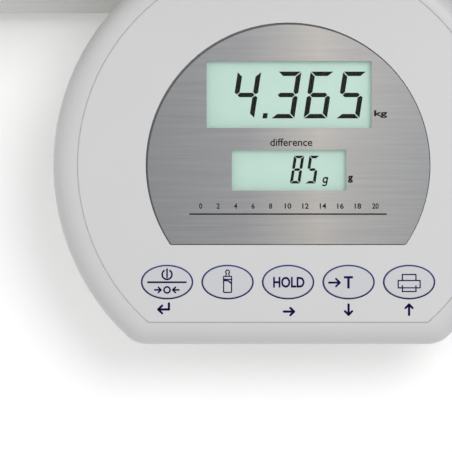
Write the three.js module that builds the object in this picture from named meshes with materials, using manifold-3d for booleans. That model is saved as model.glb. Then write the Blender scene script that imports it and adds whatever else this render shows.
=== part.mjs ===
// A digital baby weighing scale. A moulded cradle tray rests on four rubber caps, which stand on a
// frame carried by a single-point load cell in the base. A round console with a straight front edge
// stands in front of the base and leans towards the user; it carries two liquid-crystal displays
// behind a brushed plate, and five membrane keys. Units are millimetres, +Z is up, the user stands
// at -Y, and the origin is on the floor under the middle of the whole scale.
import * as THREE from "three";
import { mergeVertices } from "three/addons/utils/BufferGeometryUtils.js";
import Module from "manifold-3d";

const wasm = await Module();
wasm.setup();

// Fits and margins that all the pieces share
const seatGap = 0.3;
const slideGap = 0.4;
const cutOverrun = 1;

// How many flats a round shape is cut into
const mainArcSteps = 36;
const cornerArcSteps = 4;
const rollSteps = 3;
const ovalSteps = 20;
const rodSteps = 12;
const screwSteps = 8;

// Console: the outline is a circle cut by a straight chord at the front
const faceTilt = 10 * (Math.PI / 180);
const faceCentreHeight = 67.5;
const casingRadius = 90;
const casingChord = 69.5;
const casingCornerRadius = 12;
const casingDepth = 20;
const casingWall = 2.5;
const casingPlate = 3;
const casingDraft = 1.8;
const rimRollWidth = 8.5;
const rimRollDepth = 11;

// Membrane keypad: printed overlay, raised key pads and the circuit sheet under them
const overlayRadius = 80.7;
const overlayChord = 60.2;
const overlayCornerRadius = 1.5;
const overlayThickness = 0.9;
const circuitSheetThickness = 0.2;
const circuitSheetMargin = 2;
const circuitDomeRadius = 4;
const circuitDomeHeight = 0.15;
const circuitTailWidth = 12;
const circuitTailReach = 11;
const circuitTailDrop = 4.6;
const keyWidth = 18.9;
const keyHeight = 12.2;
const keyPitch = 23.2;
const keyRowDrop = 44.9;
const keyGap = 0.25;
const keyThickness = 1;
const keyRise = 0.5;
const keyEdgeRound = 0.4;

// Brushed plate and the displays behind it
const fasciaRadius = 54.3;
const fasciaChord = 30.4;
const fasciaCornerRadius = 0.8;
const fasciaThickness = 0.85;
const fasciaSink = 0.05;
const mainWindowWidth = 62.5;
const mainWindowHeight = 25;
const mainWindowBase = 14.2;
const differenceWindowWidth = 43.1;
const differenceWindowHeight = 15;
const differenceWindowBase = -9.8;
const windowMargin = 3;
const windowSheetThickness = 1;
const lcdThickness = 2.4;
const displayFrameThickness = 4.6;
const displayFrameMargin = 3.5;
const displayPocketDepth = 1.1;
const frameSkirt = 1.2;
const displayBoardThickness = 1.6;
const displayBoardMargin = 2;
const stakeRadius = 1.5;
const stakeHeadRadius = 2.4;
const stakeHeadHeight = 0.8;
const stakeInset = 3.2;
const displayConnectorWidth = 20;
const displayConnectorDepth = 5;
const displayConnectorHeight = 3;
const displayConnectorBack = 24;

// Console lower shell and the duct that joins it to the base
const lowerShellTopInset = 2.8;
const lowerShellFootRadius = 66;
const lowerShellFootChord = 50;
const lowerShellFootCorner = 14;
const lowerShellSteps = 4;
const ductWidth = 104;
const ductHeight = 26;
const ductFloorHeight = 19;
const ductStart = 44;
const ductFlange = 3;
const ductFlangeThickness = 2.4;
const consoleScrewSide = 54;
const consoleScrewUp = 16;
const consoleFrontScrewSide = 40;
const consoleFrontScrewDown = 42;
const consoleScrewLength = 18;
const consoleScrewGrip = 9;

// Screws and the bosses that take them
const screwRadius = 1.6;
const screwHeadRadius = 3;
const screwHeadHeight = 2.4;
const screwHoleGap = 0.3;
const screwBossRadius = 4.2;
const screwWellGap = 0.6;

// Base shells
const baseClearance = 12;
const baseWidth = 340;
const baseDepth = 270;
const baseCornerRadius = 38;
const baseFloor = 3.5;
const baseWall = 3;
const baseLowerHeight = 20;
const baseUpperHeight = 22;
const baseTopRound = 8;
const baseBottomRound = 3;
const baseCoverSkin = 3;
const partingGap = 0.4;
const baseOffset = 11;
const baseScrewInset = 16;
const baseScrewAlong = 62;
const baseScrewLength = 14;
const baseScrewGrip = 5;

// Levelling feet: the pad slides up and down, the threaded spindle turns over it
const footInset = 32;
const footPadRadius = 14;
const footPadBevel = 1.5;
const footPadHeight = 6;
const footCupRadius = 5;
const footCupDepth = 2.4;
const spindleRadius = 4;
const spindleTipRadius = 4.6;
const spindleTop = 27;
const spindleWheelRadius = 11;
const spindleWheelBase = 6.6;
const spindleWheelHeight = 4;
const spindleWheelNotch = 0.9;
const spindleWheelNotches = 12;
const footBossRadius = 8.5;
const footBossTop = 28;
const footThreadGap = 0.3;

// Battery bay under the rear of the base
const cellCount = 4;
const cellRadius = 7.25;
const cellLength = 49.5;
const cellNubRadius = 2.75;
const cellNubLength = 1;
const cellPitch = 15.4;
const bayEndRoom = 3.4;
const baySideRoom = 1.2;
const bayHeadroom = 1.2;
const bayWall = 1.6;
const bayFlange = 3;
const bayFlangeThickness = 1.5;
const bayRearMargin = 8;
const bayRimWidth = 7;
const bayRimHeight = 2;
const doorThickness = 2.4;
const doorLap = 3;
const doorRailWidth = 2.5;
const doorRailThickness = 1;
const contactStripThickness = 1;
const contactSpringRadius = 3;
const contactSpringTipRadius = 1.6;
const contactSpringLength = 2.1;
const contactButtonLength = 0.9;

// Power socket in the rear wall
const socketSide = 112;
const socketHeight = 24;
const socketBodyWidth = 13;
const socketBodyDepth = 12;
const socketBodyHeight = 11;
const socketMouthRadius = 5.2;
const socketBoreRadius = 3.2;
const socketBoreDepth = 9.5;
const socketPinRadius = 1;
const socketPinShort = 1.2;

// Main circuit board
const mainBoardWidth = 96;
const mainBoardDepth = 50;
const mainBoardThickness = 1.6;
const mainBoardHeight = 20.5;
const mainBoardSetback = 14;
const mainBoardPostRadius = 3;
const mainBoardPostInset = 5;
const chipWidth = 14;
const chipHeight = 2;
const headerWidth = 20;
const headerDepth = 5;
const headerHeight = 4;
const headerInset = 3;

// Ribbon cable between the two boards
const ribbonWidth = 16;
const ribbonThickness = 0.8;
const ribbonRunHeight = 30;
const ribbonBendShare = 0.5;

// Load cell and what carries it
const chassisWidth = 190;
const chassisDepth = 36;
const chassisThickness = 3;
const cellBlockLength = 130;
const cellBlockWidth = 30;
const cellBlockHeight = 18;
const cellBoreRadius = 6;
const cellBoreSpread = 15;
const cellSlotHeight = 5;
const cellEndLength = 28;
const lowerSpacerHeight = 4;
const upperSpacerHeight = 4;
const cellBoltRadius = 3;
const cellBoltHeadRadius = 5;
const cellBoltHeadHeight = 2.8;
const cellBoltSpread = 12;
const cellBoltEnd = 8;
const cellBoltReach = 11;
const cellBoltDepth = 12;
const stopRadius = 4;
const stopSide = 84;
const stopAlong = 12;
const stopClearance = 0.6;
const upperFrameThickness = 3;
const upperFrameMargin = 12;
const upperFrameCorner = 14;
const upperFrameCutWidth = 54;
const upperFrameCutDepth = 44;
const upperFrameCutCorner = 8;
const upperFrameCutSide = 66;
const upperFrameCutAlong = 42;

// Posts and rubber caps that carry the tray
const postSide = 115;
const postAlong = 60;
const postRadius = 6;
const postHoleRadius = 11;
const postRise = 6;
const collarThickness = 2.5;
const collarHeight = 3;
const capRadius = 9;
const capTopThickness = 4;
const capSkirtHeight = 5;
const capBevel = 1;

// Spirit level in the cover
const levelSideInset = 36;
const levelFrontInset = 29;
const levelRadius = 10;
const levelFlangeRadius = 12;
const levelFlangeHeight = 0.8;
const levelDepth = 8;
const levelVialRadius = 8;
const levelVialDepth = 5;
const levelVialDome = 0.9;

// Weighing tray
const trayWidth = 560;
const trayDepth = 280;
const trayCornerRadius = 112;
const trayFrontGap = 0.5;
const trayFloorWidth = 326;
const trayFloorDepth = 166;
const trayFloorCorner = 62;
const trayRise = 52;
const trayRimAngle = 80 * (Math.PI / 180);
const trayWallSteps = 6;
const trayEndDropShare = 0.28;
const trayLipWidth = 11;
const trayLipHeight = 4.5;
const trayLipOutShares = [0.22, 0.52, 0.84, 1];
const trayLipUpShares = [0.66, 1, 0.8, 0.2];
const traySkin = 2.8;
const traySideSteps = 6;
const trayEndSteps = 2;
const trayCornerSteps = 6;
const traySocketRadius = 12.5;
const traySocketWall = 2.2;
const traySocketDepth = 4;
const trayRibThickness = 2.4;
const trayRibDepth = 3;

// Heights and places that follow from the sizes above
const baseParting = baseClearance + baseLowerHeight;
const coverTop = baseParting + baseUpperHeight;
const postTop = coverTop + postRise;
const trayUnderside = postTop + capTopThickness;
const footSide = baseWidth / 2 - footInset;
const footAlong = baseDepth / 2 - footInset;
const baseScrewSide = baseWidth / 2 - baseScrewInset;
const levelSide = baseWidth / 2 - levelSideInset;
const trayFront = overlayRadius * Math.cos(faceTilt) + trayFrontGap;
const trayCentreY = trayFront + trayDepth / 2;
const baseCentreY = trayCentreY - baseOffset;
const baseFrontY = baseCentreY - baseDepth / 2;
const baseRearY = baseCentreY + baseDepth / 2;
const floorTop = baseClearance + baseFloor;
const recessDepth = overlayThickness + circuitSheetThickness + circuitDomeHeight + seatGap;
const plateUnderside = -(recessDepth + casingPlate);

// Finishes
function finish(color, roughness, metalness = 0) {
  return new THREE.MeshStandardMaterial({ color, roughness, metalness });
}
const whiteShell = finish(0xe9e9e7, 0.45);
const greyShell = finish(0xcfd0d1, 0.45);
const trayWhite = finish(0xf1f1ee, 0.35);
const overlayFilm = finish(0xd3d3d4, 0.4);
const keyFilm = finish(0xcbcbd0, 0.4);
const brushedSteel = finish(0xa8a8a8, 0.35, 0.9);
const clearSheet = finish(0xdfe8e6, 0.1);
const lcdGreen = finish(0xbedbcf, 0.25);
const boardGreen = finish(0x1f5b3a, 0.5);
const steel = finish(0x9aa0a5, 0.35, 0.9);
const aluminium = finish(0xc3c6c9, 0.35, 0.8);
const rubber = finish(0x2b2c2e, 0.85);
const blackPlastic = finish(0x232427, 0.5);
const frameWhite = finish(0xf4f4f2, 0.5);
const cellJacket = finish(0x2f5f8f, 0.4);
const levelGreen = finish(0xb6d64a, 0.15);
const ribbonGrey = finish(0xb9bcc0, 0.6);

// A closed geometry as a solid that can be joined and cut
function toSolid(geometry) {
  const bare = geometry.index ? geometry.toNonIndexed() : geometry.clone();
  bare.deleteAttribute("normal");
  bare.deleteAttribute("uv");
  const merged = mergeVertices(bare, 1e-4);
  const kept = [];
  const index = merged.index.array;
  for (let i = 0; i < index.length; i += 3) {
    const [a, b, c] = [index[i], index[i + 1], index[i + 2]];
    if (a !== b && b !== c && c !== a) kept.push(a, b, c);
  }
  return new wasm.Manifold(
    new wasm.Mesh({
      numProp: 3,
      vertProperties: merged.attributes.position.array,
      triVerts: new Uint32Array(kept),
    }),
  );
}

// A solid as a geometry for a mesh
function toGeometry(solid) {
  const mesh = solid.getMesh();
  const geometry = new THREE.BufferGeometry();
  geometry.setAttribute("position", new THREE.BufferAttribute(mesh.vertProperties, 3));
  geometry.setIndex(new THREE.BufferAttribute(mesh.triVerts, 1));
  geometry.computeVertexNormals();
  return geometry;
}

// A block with its middle at x, y and its underside at base
function block(width, depth, height, x = 0, y = 0, base = 0) {
  return toSolid(new THREE.BoxGeometry(width, depth, height).translate(x, y, base + height / 2));
}

// An upright rod, or a frustum where a second radius is given for its top
function rod(radius, height, x = 0, y = 0, base = 0, steps = rodSteps, topRadius = radius) {
  const geometry = new THREE.CylinderGeometry(topRadius, radius, height, steps);
  return toSolid(geometry.rotateX(Math.PI / 2).translate(x, y, base + height / 2));
}

// A flat outline raised to a prism between base and base + height
function prism(outline, height, base = 0) {
  const shape = new THREE.Shape(outline);
  const geometry = new THREE.ExtrudeGeometry(shape, { depth: height, bevelEnabled: false });
  return toSolid(geometry.translate(0, 0, base));
}

// Rings of equally many points, each anticlockwise seen from outside the first cap, skinned in turn
function loft(rings) {
  const count = rings[0].length;
  const last = (rings.length - 1) * count;
  const index = [];
  for (let r = 0; r < rings.length - 1; r++) {
    for (let k = 0; k < count; k++) {
      const a = r * count + k;
      const b = r * count + ((k + 1) % count);
      index.push(a, b, b + count, a, b + count, a + count);
    }
  }
  for (let k = 1; k < count - 1; k++) {
    index.push(0, k + 1, k);
    index.push(last, last + k, last + k + 1);
  }
  const geometry = new THREE.BufferGeometry().setFromPoints(rings.flat());
  geometry.setIndex(index);
  return toSolid(geometry);
}

// An arc of points about a centre
function arc(centreX, centreY, radius, from, to, steps) {
  return Array.from({ length: steps + 1 }, (_, i) => {
    const angle = from + ((to - from) * i) / steps;
    return new THREE.Vector2(
      centreX + radius * Math.cos(angle),
      centreY + radius * Math.sin(angle),
    );
  });
}

// The console's outline: a circle cut by a chord, with the two corners rounded
function consoleOutline(radius, chord, corner) {
  const centreX = Math.sqrt((radius - corner) ** 2 - (chord - corner) ** 2);
  const centreY = corner - chord;
  const meet = Math.atan2(centreY, centreX);
  return [
    ...arc(centreX, centreY, corner, -Math.PI / 2, meet, cornerArcSteps),
    ...arc(0, 0, radius, meet, Math.PI - meet, mainArcSteps).slice(1),
    ...arc(-centreX, centreY, corner, Math.PI - meet, 1.5 * Math.PI, cornerArcSteps).slice(1),
  ];
}

// The same outline drawn in by an inset, as a ring at one height
function consoleRing(radius, chord, corner, inset, height) {
  const outline = consoleOutline(radius - inset, chord - inset, corner - inset);
  return outline.map((p) => new THREE.Vector3(p.x, p.y, height));
}

// A rounded rectangle about the origin, each side cut into equal steps
function roundedOutline(halfX, halfY, corner, cornerSteps, longSteps = 1, shortSteps = 1) {
  const [cx, cy] = [halfX - corner, halfY - corner];
  const corners = [
    [cx, -cy, shortSteps],
    [cx, cy, longSteps],
    [-cx, cy, shortSteps],
    [-cx, -cy, longSteps],
  ];
  return corners.flatMap(([x, y, steps], i) => {
    const start = (i - 1) * (Math.PI / 2);
    const bend = arc(x, y, corner, start, start + Math.PI / 2, cornerSteps);
    const [nextX, nextY] = corners[(i + 1) % 4];
    const from = bend[cornerSteps];
    const to = arc(nextX, nextY, corner, start + Math.PI / 2, start + Math.PI, 1)[0];
    const side = Array.from({ length: steps - 1 }, (_, k) =>
      from.clone().lerp(to, (k + 1) / steps),
    );
    return [...bend, ...side];
  });
}

// A flat outline as a ring of points at one height, moved along Y
function ringAt(outline, height, y = 0) {
  return outline.map((p) => new THREE.Vector3(p.x, p.y + y, height));
}

function ovalOutline(width, height) {
  return Array.from({ length: ovalSteps }, (_, i) => {
    const angle = (2 * Math.PI * i) / ovalSteps;
    return new THREE.Vector2((width / 2) * Math.cos(angle), (height / 2) * Math.sin(angle));
  });
}

// A turned piece from its profile of [radius, height] points, which starts and ends on the axis
function turned(profile, steps = rodSteps) {
  const points = profile.map(([radius, height]) => new THREE.Vector2(radius, height));
  return toSolid(new THREE.LatheGeometry(points, steps).rotateX(Math.PI / 2));
}

function union(solids) {
  return solids.reduce((sum, next) => sum.add(next));
}

// A pan-head screw along +Z, with its head below the origin
function screw(shankRadius, length, headRadius, headHeight) {
  return turned(
    [
      [0, -headHeight],
      [headRadius, -headHeight],
      [headRadius, 0],
      [shankRadius, 0],
      [shankRadius, length],
      [0, length],
    ],
    screwSteps,
  );
}

const scale = new THREE.Group();
const console3d = new THREE.Group();
console3d.rotation.x = faceTilt;
console3d.position.z = faceCentreHeight;
scale.add(console3d);

// Puts one named piece into a group, at a place in that group
function place(parent, name, solid, material, x = 0, y = 0, z = 0) {
  const mesh = new THREE.Mesh(toGeometry(solid), material);
  mesh.name = name;
  mesh.position.set(x, y, z);
  parent.add(mesh);
}

// Console casing: a plate with a rolled rim, recessed for the keypad and open for the displays
const windowTop = -(recessDepth + seatGap);
const windowBottom = windowTop - windowSheetThickness;
const windowSheet = {
  width: mainWindowWidth + 2 * windowMargin,
  top: mainWindowBase + mainWindowHeight + windowMargin,
  bottom: differenceWindowBase - windowMargin,
};
windowSheet.height = windowSheet.top - windowSheet.bottom;
windowSheet.middle = (windowSheet.top + windowSheet.bottom) / 2;
const mainLcd = {
  width: mainWindowWidth + 2 * windowMargin - 2 * seatGap,
  height: mainWindowHeight + windowMargin,
  middle: mainWindowBase + mainWindowHeight / 2 + seatGap,
};
const differenceLcd = {
  width: differenceWindowWidth + 2 * windowMargin,
  height: differenceWindowHeight + windowMargin,
  middle: differenceWindowBase + differenceWindowHeight / 2,
};
const lcdTop = windowBottom - seatGap;
const lcdBottom = lcdTop - lcdThickness;
const frameTop = plateUnderside - seatGap;
const frameBottom = frameTop - displayFrameThickness;
const boardTop = frameBottom - seatGap;
const boardBottom = boardTop - displayBoardThickness;
const displayFrame = {
  width: windowSheet.width + 2 * displayFrameMargin,
  height: windowSheet.height + 2 * displayFrameMargin,
};
const displayBoard = {
  width: displayFrame.width + 2 * displayBoardMargin,
  height: displayFrame.height + 2 * displayBoardMargin,
};
const displayBoardFront = windowSheet.middle - displayBoard.height / 2;
const tailSlotMiddle = displayBoardFront - circuitTailReach;
const consoleScrewPlaces = [
  [-consoleScrewSide, consoleScrewUp],
  [consoleScrewSide, consoleScrewUp],
  [-consoleFrontScrewSide, -consoleFrontScrewDown],
  [consoleFrontScrewSide, -consoleFrontScrewDown],
];

function makeCasing() {
  const rim = (inset, height) =>
    consoleRing(casingRadius, casingChord, casingCornerRadius, inset, height);
  const rings = [rim(casingDraft, -casingDepth), rim(0, -rimRollDepth)];
  for (let i = 1; i <= rollSteps; i++) {
    const angle = (i / rollSteps) * (Math.PI / 2);
    rings.push(rim(rimRollWidth * (1 - Math.cos(angle)), -rimRollDepth * (1 - Math.sin(angle))));
  }
  const cavity = loft([
    rim(casingDraft + casingWall, -casingDepth - cutOverrun),
    rim(casingWall, -rimRollDepth),
    rim(casingWall + rimRollWidth / 2, plateUnderside),
  ]);
  const recess = prism(
    consoleOutline(overlayRadius + seatGap, overlayChord + seatGap, overlayCornerRadius + seatGap),
    recessDepth + cutOverrun,
    -recessDepth,
  );
  const windowSeat = block(
    windowSheet.width + 2 * seatGap,
    windowSheet.height + 2 * seatGap,
    windowSheetThickness + 2 * seatGap,
    0,
    windowSheet.middle,
    windowBottom,
  );
  const opening = (lcd) =>
    block(
      lcd.width + 2 * seatGap,
      lcd.height + 2 * seatGap,
      casingPlate + 2 * cutOverrun,
      0,
      lcd.middle,
      plateUnderside - cutOverrun,
    );
  const tailSlot = block(
    circuitTailWidth + 2 * slideGap,
    2 * casingWall,
    casingPlate + 2 * cutOverrun,
    0,
    tailSlotMiddle,
    plateUnderside - cutOverrun,
  );
  const bosses = consoleScrewPlaces.map(([x, y]) =>
    rod(screwBossRadius, casingDepth + plateUnderside + seatGap, x, y, -casingDepth),
  );
  const pilots = consoleScrewPlaces.map(([x, y]) =>
    rod(
      screwRadius + screwHoleGap,
      consoleScrewGrip + 2 * cutOverrun,
      x,
      y,
      -casingDepth - cutOverrun,
      screwSteps,
    ),
  );
  return union([loft(rings).subtract(cavity), ...bosses])
    .subtract(recess)
    .subtract(windowSeat)
    .subtract(opening(mainLcd))
    .subtract(opening(differenceLcd))
    .subtract(tailSlot)
    .subtract(union(pilots));
}
place(console3d, "console_casing", makeCasing(), greyShell);

// Printed overlay film with openings for the plate and the keys
const keyPlaces = [-2, -1, 0, 1, 2].map((i) => i * keyPitch);
function makeOverlay() {
  const film = prism(
    consoleOutline(overlayRadius, overlayChord, overlayCornerRadius),
    overlayThickness,
    -overlayThickness,
  );
  const through = overlayThickness + 2 * cutOverrun;
  const plateHole = prism(
    consoleOutline(fasciaRadius + seatGap, fasciaChord + seatGap, fasciaCornerRadius + seatGap),
    through,
    -overlayThickness - cutOverrun,
  );
  const keyHole = prism(
    ovalOutline(keyWidth + 2 * keyGap, keyHeight + 2 * keyGap),
    through,
    -overlayThickness - cutOverrun,
  );
  const keyHoles = keyPlaces.map((x) => keyHole.translate([x, -keyRowDrop, 0]));
  return film.subtract(plateHole).subtract(union(keyHoles));
}
place(console3d, "key_overlay", makeOverlay(), overlayFilm);

// Raised key pads, each pressing on its own dome
function makeKey() {
  const oval = (inset, height) =>
    ringAt(ovalOutline(keyWidth - 2 * inset, keyHeight - 2 * inset), height);
  return loft([
    oval(0, keyRise - keyThickness),
    oval(0, keyRise - keyEdgeRound),
    oval(keyEdgeRound, keyRise),
  ]);
}
const keyNames = ["key_power", "key_bottle", "key_hold", "key_tare", "key_print"];
keyNames.forEach((name, i) => {
  place(console3d, name, makeKey(), keyFilm, keyPlaces[i], -keyRowDrop);
});

// Keypad circuit: a thin sheet with a snap dome under each key and a tail to the display board
function makeKeypadCircuit() {
  const sheetTop = -recessDepth + circuitSheetThickness + seatGap / 2;
  const sheetWidth = keyPlaces[4] - keyPlaces[0] + keyWidth - 2 * circuitSheetMargin;
  const sheetHeight = keyHeight - 2 * circuitSheetMargin;
  const sheet = block(
    sheetWidth,
    sheetHeight,
    circuitSheetThickness,
    0,
    -keyRowDrop,
    sheetTop - circuitSheetThickness,
  );
  const domes = keyPlaces.map((x) =>
    rod(
      circuitDomeRadius,
      circuitSheetThickness / 2 + circuitDomeHeight,
      x,
      -keyRowDrop,
      sheetTop - circuitSheetThickness / 2,
      rodSteps,
      circuitDomeRadius / 2,
    ),
  );
  const half = circuitSheetThickness / 2;
  const tailLength = tailSlotMiddle - half + keyRowDrop;
  const tail = block(
    circuitTailWidth,
    tailLength,
    circuitSheetThickness,
    0,
    tailLength / 2 - keyRowDrop,
    sheetTop - circuitSheetThickness,
  );
  const dropBase = boardBottom - circuitTailDrop + half;
  const drop = block(
    circuitTailWidth,
    circuitSheetThickness,
    sheetTop - half - dropBase,
    0,
    tailSlotMiddle - half,
    dropBase,
  );
  const returnLength = circuitTailReach + displayBoardMargin;
  const back = block(
    circuitTailWidth,
    returnLength,
    circuitSheetThickness,
    0,
    tailSlotMiddle - half + returnLength / 2,
    dropBase - half,
  );
  return union([sheet, ...domes, tail, drop, back]);
}
place(console3d, "keypad_circuit", makeKeypadCircuit(), clearSheet);

// Brushed plate over the displays
function makeFascia() {
  const through = fasciaThickness + 2 * cutOverrun;
  const bottom = -fasciaSink - fasciaThickness;
  const plate = prism(
    consoleOutline(fasciaRadius, fasciaChord, fasciaCornerRadius),
    fasciaThickness,
    bottom,
  );
  const cut = (width, height, base) =>
    block(width, height, through, 0, base + height / 2, bottom - cutOverrun);
  return plate
    .subtract(cut(mainWindowWidth, mainWindowHeight, mainWindowBase))
    .subtract(cut(differenceWindowWidth, differenceWindowHeight, differenceWindowBase));
}
place(console3d, "fascia_plate", makeFascia(), brushedSteel);

// Clear sheet and the two display glasses under it
place(
  console3d,
  "display_window",
  block(
    windowSheet.width,
    windowSheet.height,
    windowSheetThickness,
    0,
    windowSheet.middle,
    windowBottom + seatGap / 2,
  ),
  clearSheet,
);
[
  ["main_lcd", mainLcd],
  ["difference_lcd", differenceLcd],
].forEach(([name, lcd]) => {
  const glass = block(lcd.width, lcd.height, lcdThickness, 0, lcd.middle, lcdBottom);
  place(console3d, name, glass, lcdGreen);
});

// Frame that holds both glasses, staked through the display board
const stakePlaces = [-1, 1].flatMap((side) =>
  [-1, 1].map((end) => [
    side * (displayFrame.width / 2 - stakeInset),
    windowSheet.middle + end * (displayFrame.height / 2 - stakeInset),
  ]),
);
function makeDisplayFrame() {
  const plate = block(
    displayFrame.width,
    displayFrame.height,
    displayFrameThickness,
    0,
    windowSheet.middle,
    frameBottom,
  );
  const pocket = (lcd) =>
    block(
      lcd.width + 2 * seatGap,
      lcd.height + 2 * seatGap,
      frameTop - lcdBottom + seatGap + cutOverrun,
      0,
      lcd.middle,
      lcdBottom - seatGap,
    );
  const hollow = (lcd) =>
    block(
      lcd.width - 2 * frameSkirt,
      lcd.height - 2 * frameSkirt,
      displayFrameThickness,
      0,
      lcd.middle,
      frameBottom + displayPocketDepth,
    );
  const stakes = stakePlaces.map(([x, y]) =>
    rod(
      stakeRadius,
      displayBoardThickness + 2 * seatGap + cutOverrun,
      x,
      y,
      boardBottom - seatGap,
      screwSteps,
    ).add(
      rod(
        stakeHeadRadius,
        stakeHeadHeight,
        x,
        y,
        boardBottom - seatGap - stakeHeadHeight,
        screwSteps,
      ),
    ),
  );
  return union([
    plate
      .subtract(pocket(mainLcd))
      .subtract(pocket(differenceLcd))
      .subtract(hollow(mainLcd))
      .subtract(hollow(differenceLcd)),
    ...stakes,
  ]);
}
place(console3d, "display_frame", makeDisplayFrame(), frameWhite);

function makeDisplayBoard() {
  const board = block(
    displayBoard.width,
    displayBoard.height,
    displayBoardThickness,
    0,
    windowSheet.middle,
    boardBottom,
  );
  const holes = stakePlaces.map(([x, y]) =>
    rod(
      stakeRadius + seatGap,
      displayBoardThickness + 2 * cutOverrun,
      x,
      y,
      boardBottom - cutOverrun,
      screwSteps,
    ),
  );
  const connector = block(
    displayConnectorWidth,
    displayConnectorDepth,
    displayConnectorHeight + cutOverrun,
    0,
    displayConnectorBack,
    boardBottom - displayConnectorHeight,
  );
  const tailSocket = block(
    circuitTailWidth + 2 * displayConnectorHeight,
    displayConnectorDepth,
    circuitTailDrop - 2 * circuitSheetThickness - seatGap + cutOverrun,
    0,
    displayBoardFront + displayConnectorDepth / 2,
    boardBottom - circuitTailDrop + 2 * circuitSheetThickness + seatGap,
  );
  return board.subtract(union(holes)).add(connector).add(tailSocket);
}
place(console3d, "display_board", makeDisplayBoard(), boardGreen);

// Console lower shell: a bowl from the flat foot up to the tilted casing, with the duct behind it
const tiltMatrix = new THREE.Matrix4()
  .makeRotationX(faceTilt)
  .setPosition(0, 0, faceCentreHeight);
const tilted = (solid) => solid.transform(tiltMatrix.elements.slice());

function lowerShellRings(inset, bottom, topOverrun) {
  const top = consoleOutline(
    casingRadius - lowerShellTopInset - inset,
    casingChord - lowerShellTopInset - inset,
    casingCornerRadius - lowerShellTopInset,
  ).map((p) =>
    new THREE.Vector3(p.x, p.y, -casingDepth - seatGap + topOverrun).applyMatrix4(tiltMatrix),
  );
  const foot = consoleOutline(
    lowerShellFootRadius - inset,
    lowerShellFootChord - inset,
    lowerShellFootCorner,
  );
  return Array.from({ length: lowerShellSteps + 1 }, (_, i) => {
    const rise = i / lowerShellSteps;
    const swell = Math.sin((rise * Math.PI) / 2);
    return top.map((p, k) => {
      const height = bottom + (p.z - bottom) * rise;
      const x = foot[k].x + (p.x - foot[k].x) * swell;
      const y = foot[k].y + (p.y - foot[k].y) * swell;
      return new THREE.Vector3(x, y, height);
    });
  });
}

const ductEnd = baseFrontY + baseWall + slideGap + ductFlangeThickness;
function ductBlock(grow, from, to) {
  return block(
    ductWidth + 2 * grow,
    to - from,
    ductHeight + 2 * grow,
    0,
    (from + to) / 2,
    ductFloorHeight - grow,
  );
}

// The space the lower shell leaves for the base, which stands close behind and under it
function baseRoom(grow) {
  const front = baseFrontY - seatGap - grow;
  const span = 2 * casingRadius;
  return block(span, span, coverTop + seatGap + grow, 0, front + span / 2);
}

function consoleScrewSeat() {
  return -casingDepth - seatGap - (consoleScrewLength - consoleScrewGrip);
}

function makeLowerShell() {
  const outer = loft(lowerShellRings(0, baseClearance, 0)).subtract(baseRoom(0));
  const inner = loft(
    lowerShellRings(casingWall, baseClearance + casingWall, cutOverrun),
  ).subtract(baseRoom(casingWall));
  const postDepth = 2 * casingDepth + faceCentreHeight;
  const posts = consoleScrewPlaces.map(([x, y]) =>
    tilted(rod(screwBossRadius, postDepth, x, y, -casingDepth - seatGap - postDepth)),
  );
  const wells = consoleScrewPlaces.map(([x, y]) =>
    tilted(
      rod(screwHeadRadius + screwWellGap, postDepth, x, y, consoleScrewSeat() - postDepth).add(
        rod(screwRadius + screwHoleGap, postDepth, x, y, -postDepth, screwSteps),
      ),
    ),
  );
  const duct = ductBlock(0, ductStart, ductEnd);
  const flange = ductBlock(ductFlange, ductEnd - ductFlangeThickness, ductEnd);
  const passage = ductBlock(-casingWall, ductStart - cutOverrun, ductEnd + cutOverrun);
  return outer
    .add(duct)
    .add(flange)
    .subtract(inner)
    .add(union(posts).intersect(outer))
    .subtract(passage)
    .subtract(union(wells));
}
place(scale, "console_lower_shell", makeLowerShell(), whiteShell);

const consoleScrew = screw(screwRadius, consoleScrewLength, screwHeadRadius, screwHeadHeight);
consoleScrewPlaces.forEach(([x, y], i) => {
  const height = consoleScrewSeat() - seatGap;
  place(console3d, `console_screw_${i + 1}`, consoleScrew, steel, x, y, height);
});

// Base lower shell: a shallow pan with foot bosses, screw posts, board posts and the battery opening
const bayInner = {
  width: cellCount * cellPitch + baySideRoom,
  depth: cellLength + cellNubLength + 2 * bayEndRoom,
  height: 2 * cellRadius + bayHeadroom,
};
const bayCentreY = baseRearY - bayRearMargin - bayWall - bayInner.depth / 2;
const bayOuter = {
  width: bayInner.width + 2 * bayWall,
  depth: bayInner.depth + 2 * bayWall,
};
const bayRimTop = floorTop + bayRimHeight;
const door = {
  width: bayOuter.width + 2 * doorLap,
  front: bayCentreY - bayOuter.depth / 2 - doorLap,
  top: baseClearance + doorThickness,
};
door.depth = baseRearY - door.front;

const footPlaces = [
  ["front_left", -footSide, baseCentreY - footAlong],
  ["front_right", footSide, baseCentreY - footAlong],
  ["rear_left", -footSide, baseCentreY + footAlong],
  ["rear_right", footSide, baseCentreY + footAlong],
];
const baseScrewPlaces = [
  [-baseScrewSide, baseCentreY - baseScrewAlong],
  [baseScrewSide, baseCentreY - baseScrewAlong],
  [-baseScrewSide, baseCentreY + baseScrewAlong],
  [baseScrewSide, baseCentreY + baseScrewAlong],
];
const mainBoardY = baseFrontY + mainBoardSetback + mainBoardDepth / 2;
const mainBoardPosts = [-1, 1].flatMap((side) =>
  [-1, 1].map((end) => [
    side * (mainBoardWidth / 2 - mainBoardPostInset),
    mainBoardY + end * (mainBoardDepth / 2 - mainBoardPostInset),
  ]),
);
const cellBolts = {
  lower: [cellBoltEnd, cellBoltEnd + cellBoltSpread].map((d) => d - cellBlockLength / 2),
  upper: [cellBoltEnd, cellBoltEnd + cellBoltSpread].map((d) => cellBlockLength / 2 - d),
};

function baseRing(inset, height) {
  const outline = roundedOutline(
    baseWidth / 2 - inset,
    baseDepth / 2 - inset,
    baseCornerRadius - inset,
    cornerArcSteps,
  );
  return ringAt(outline, height, baseCentreY);
}

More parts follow.
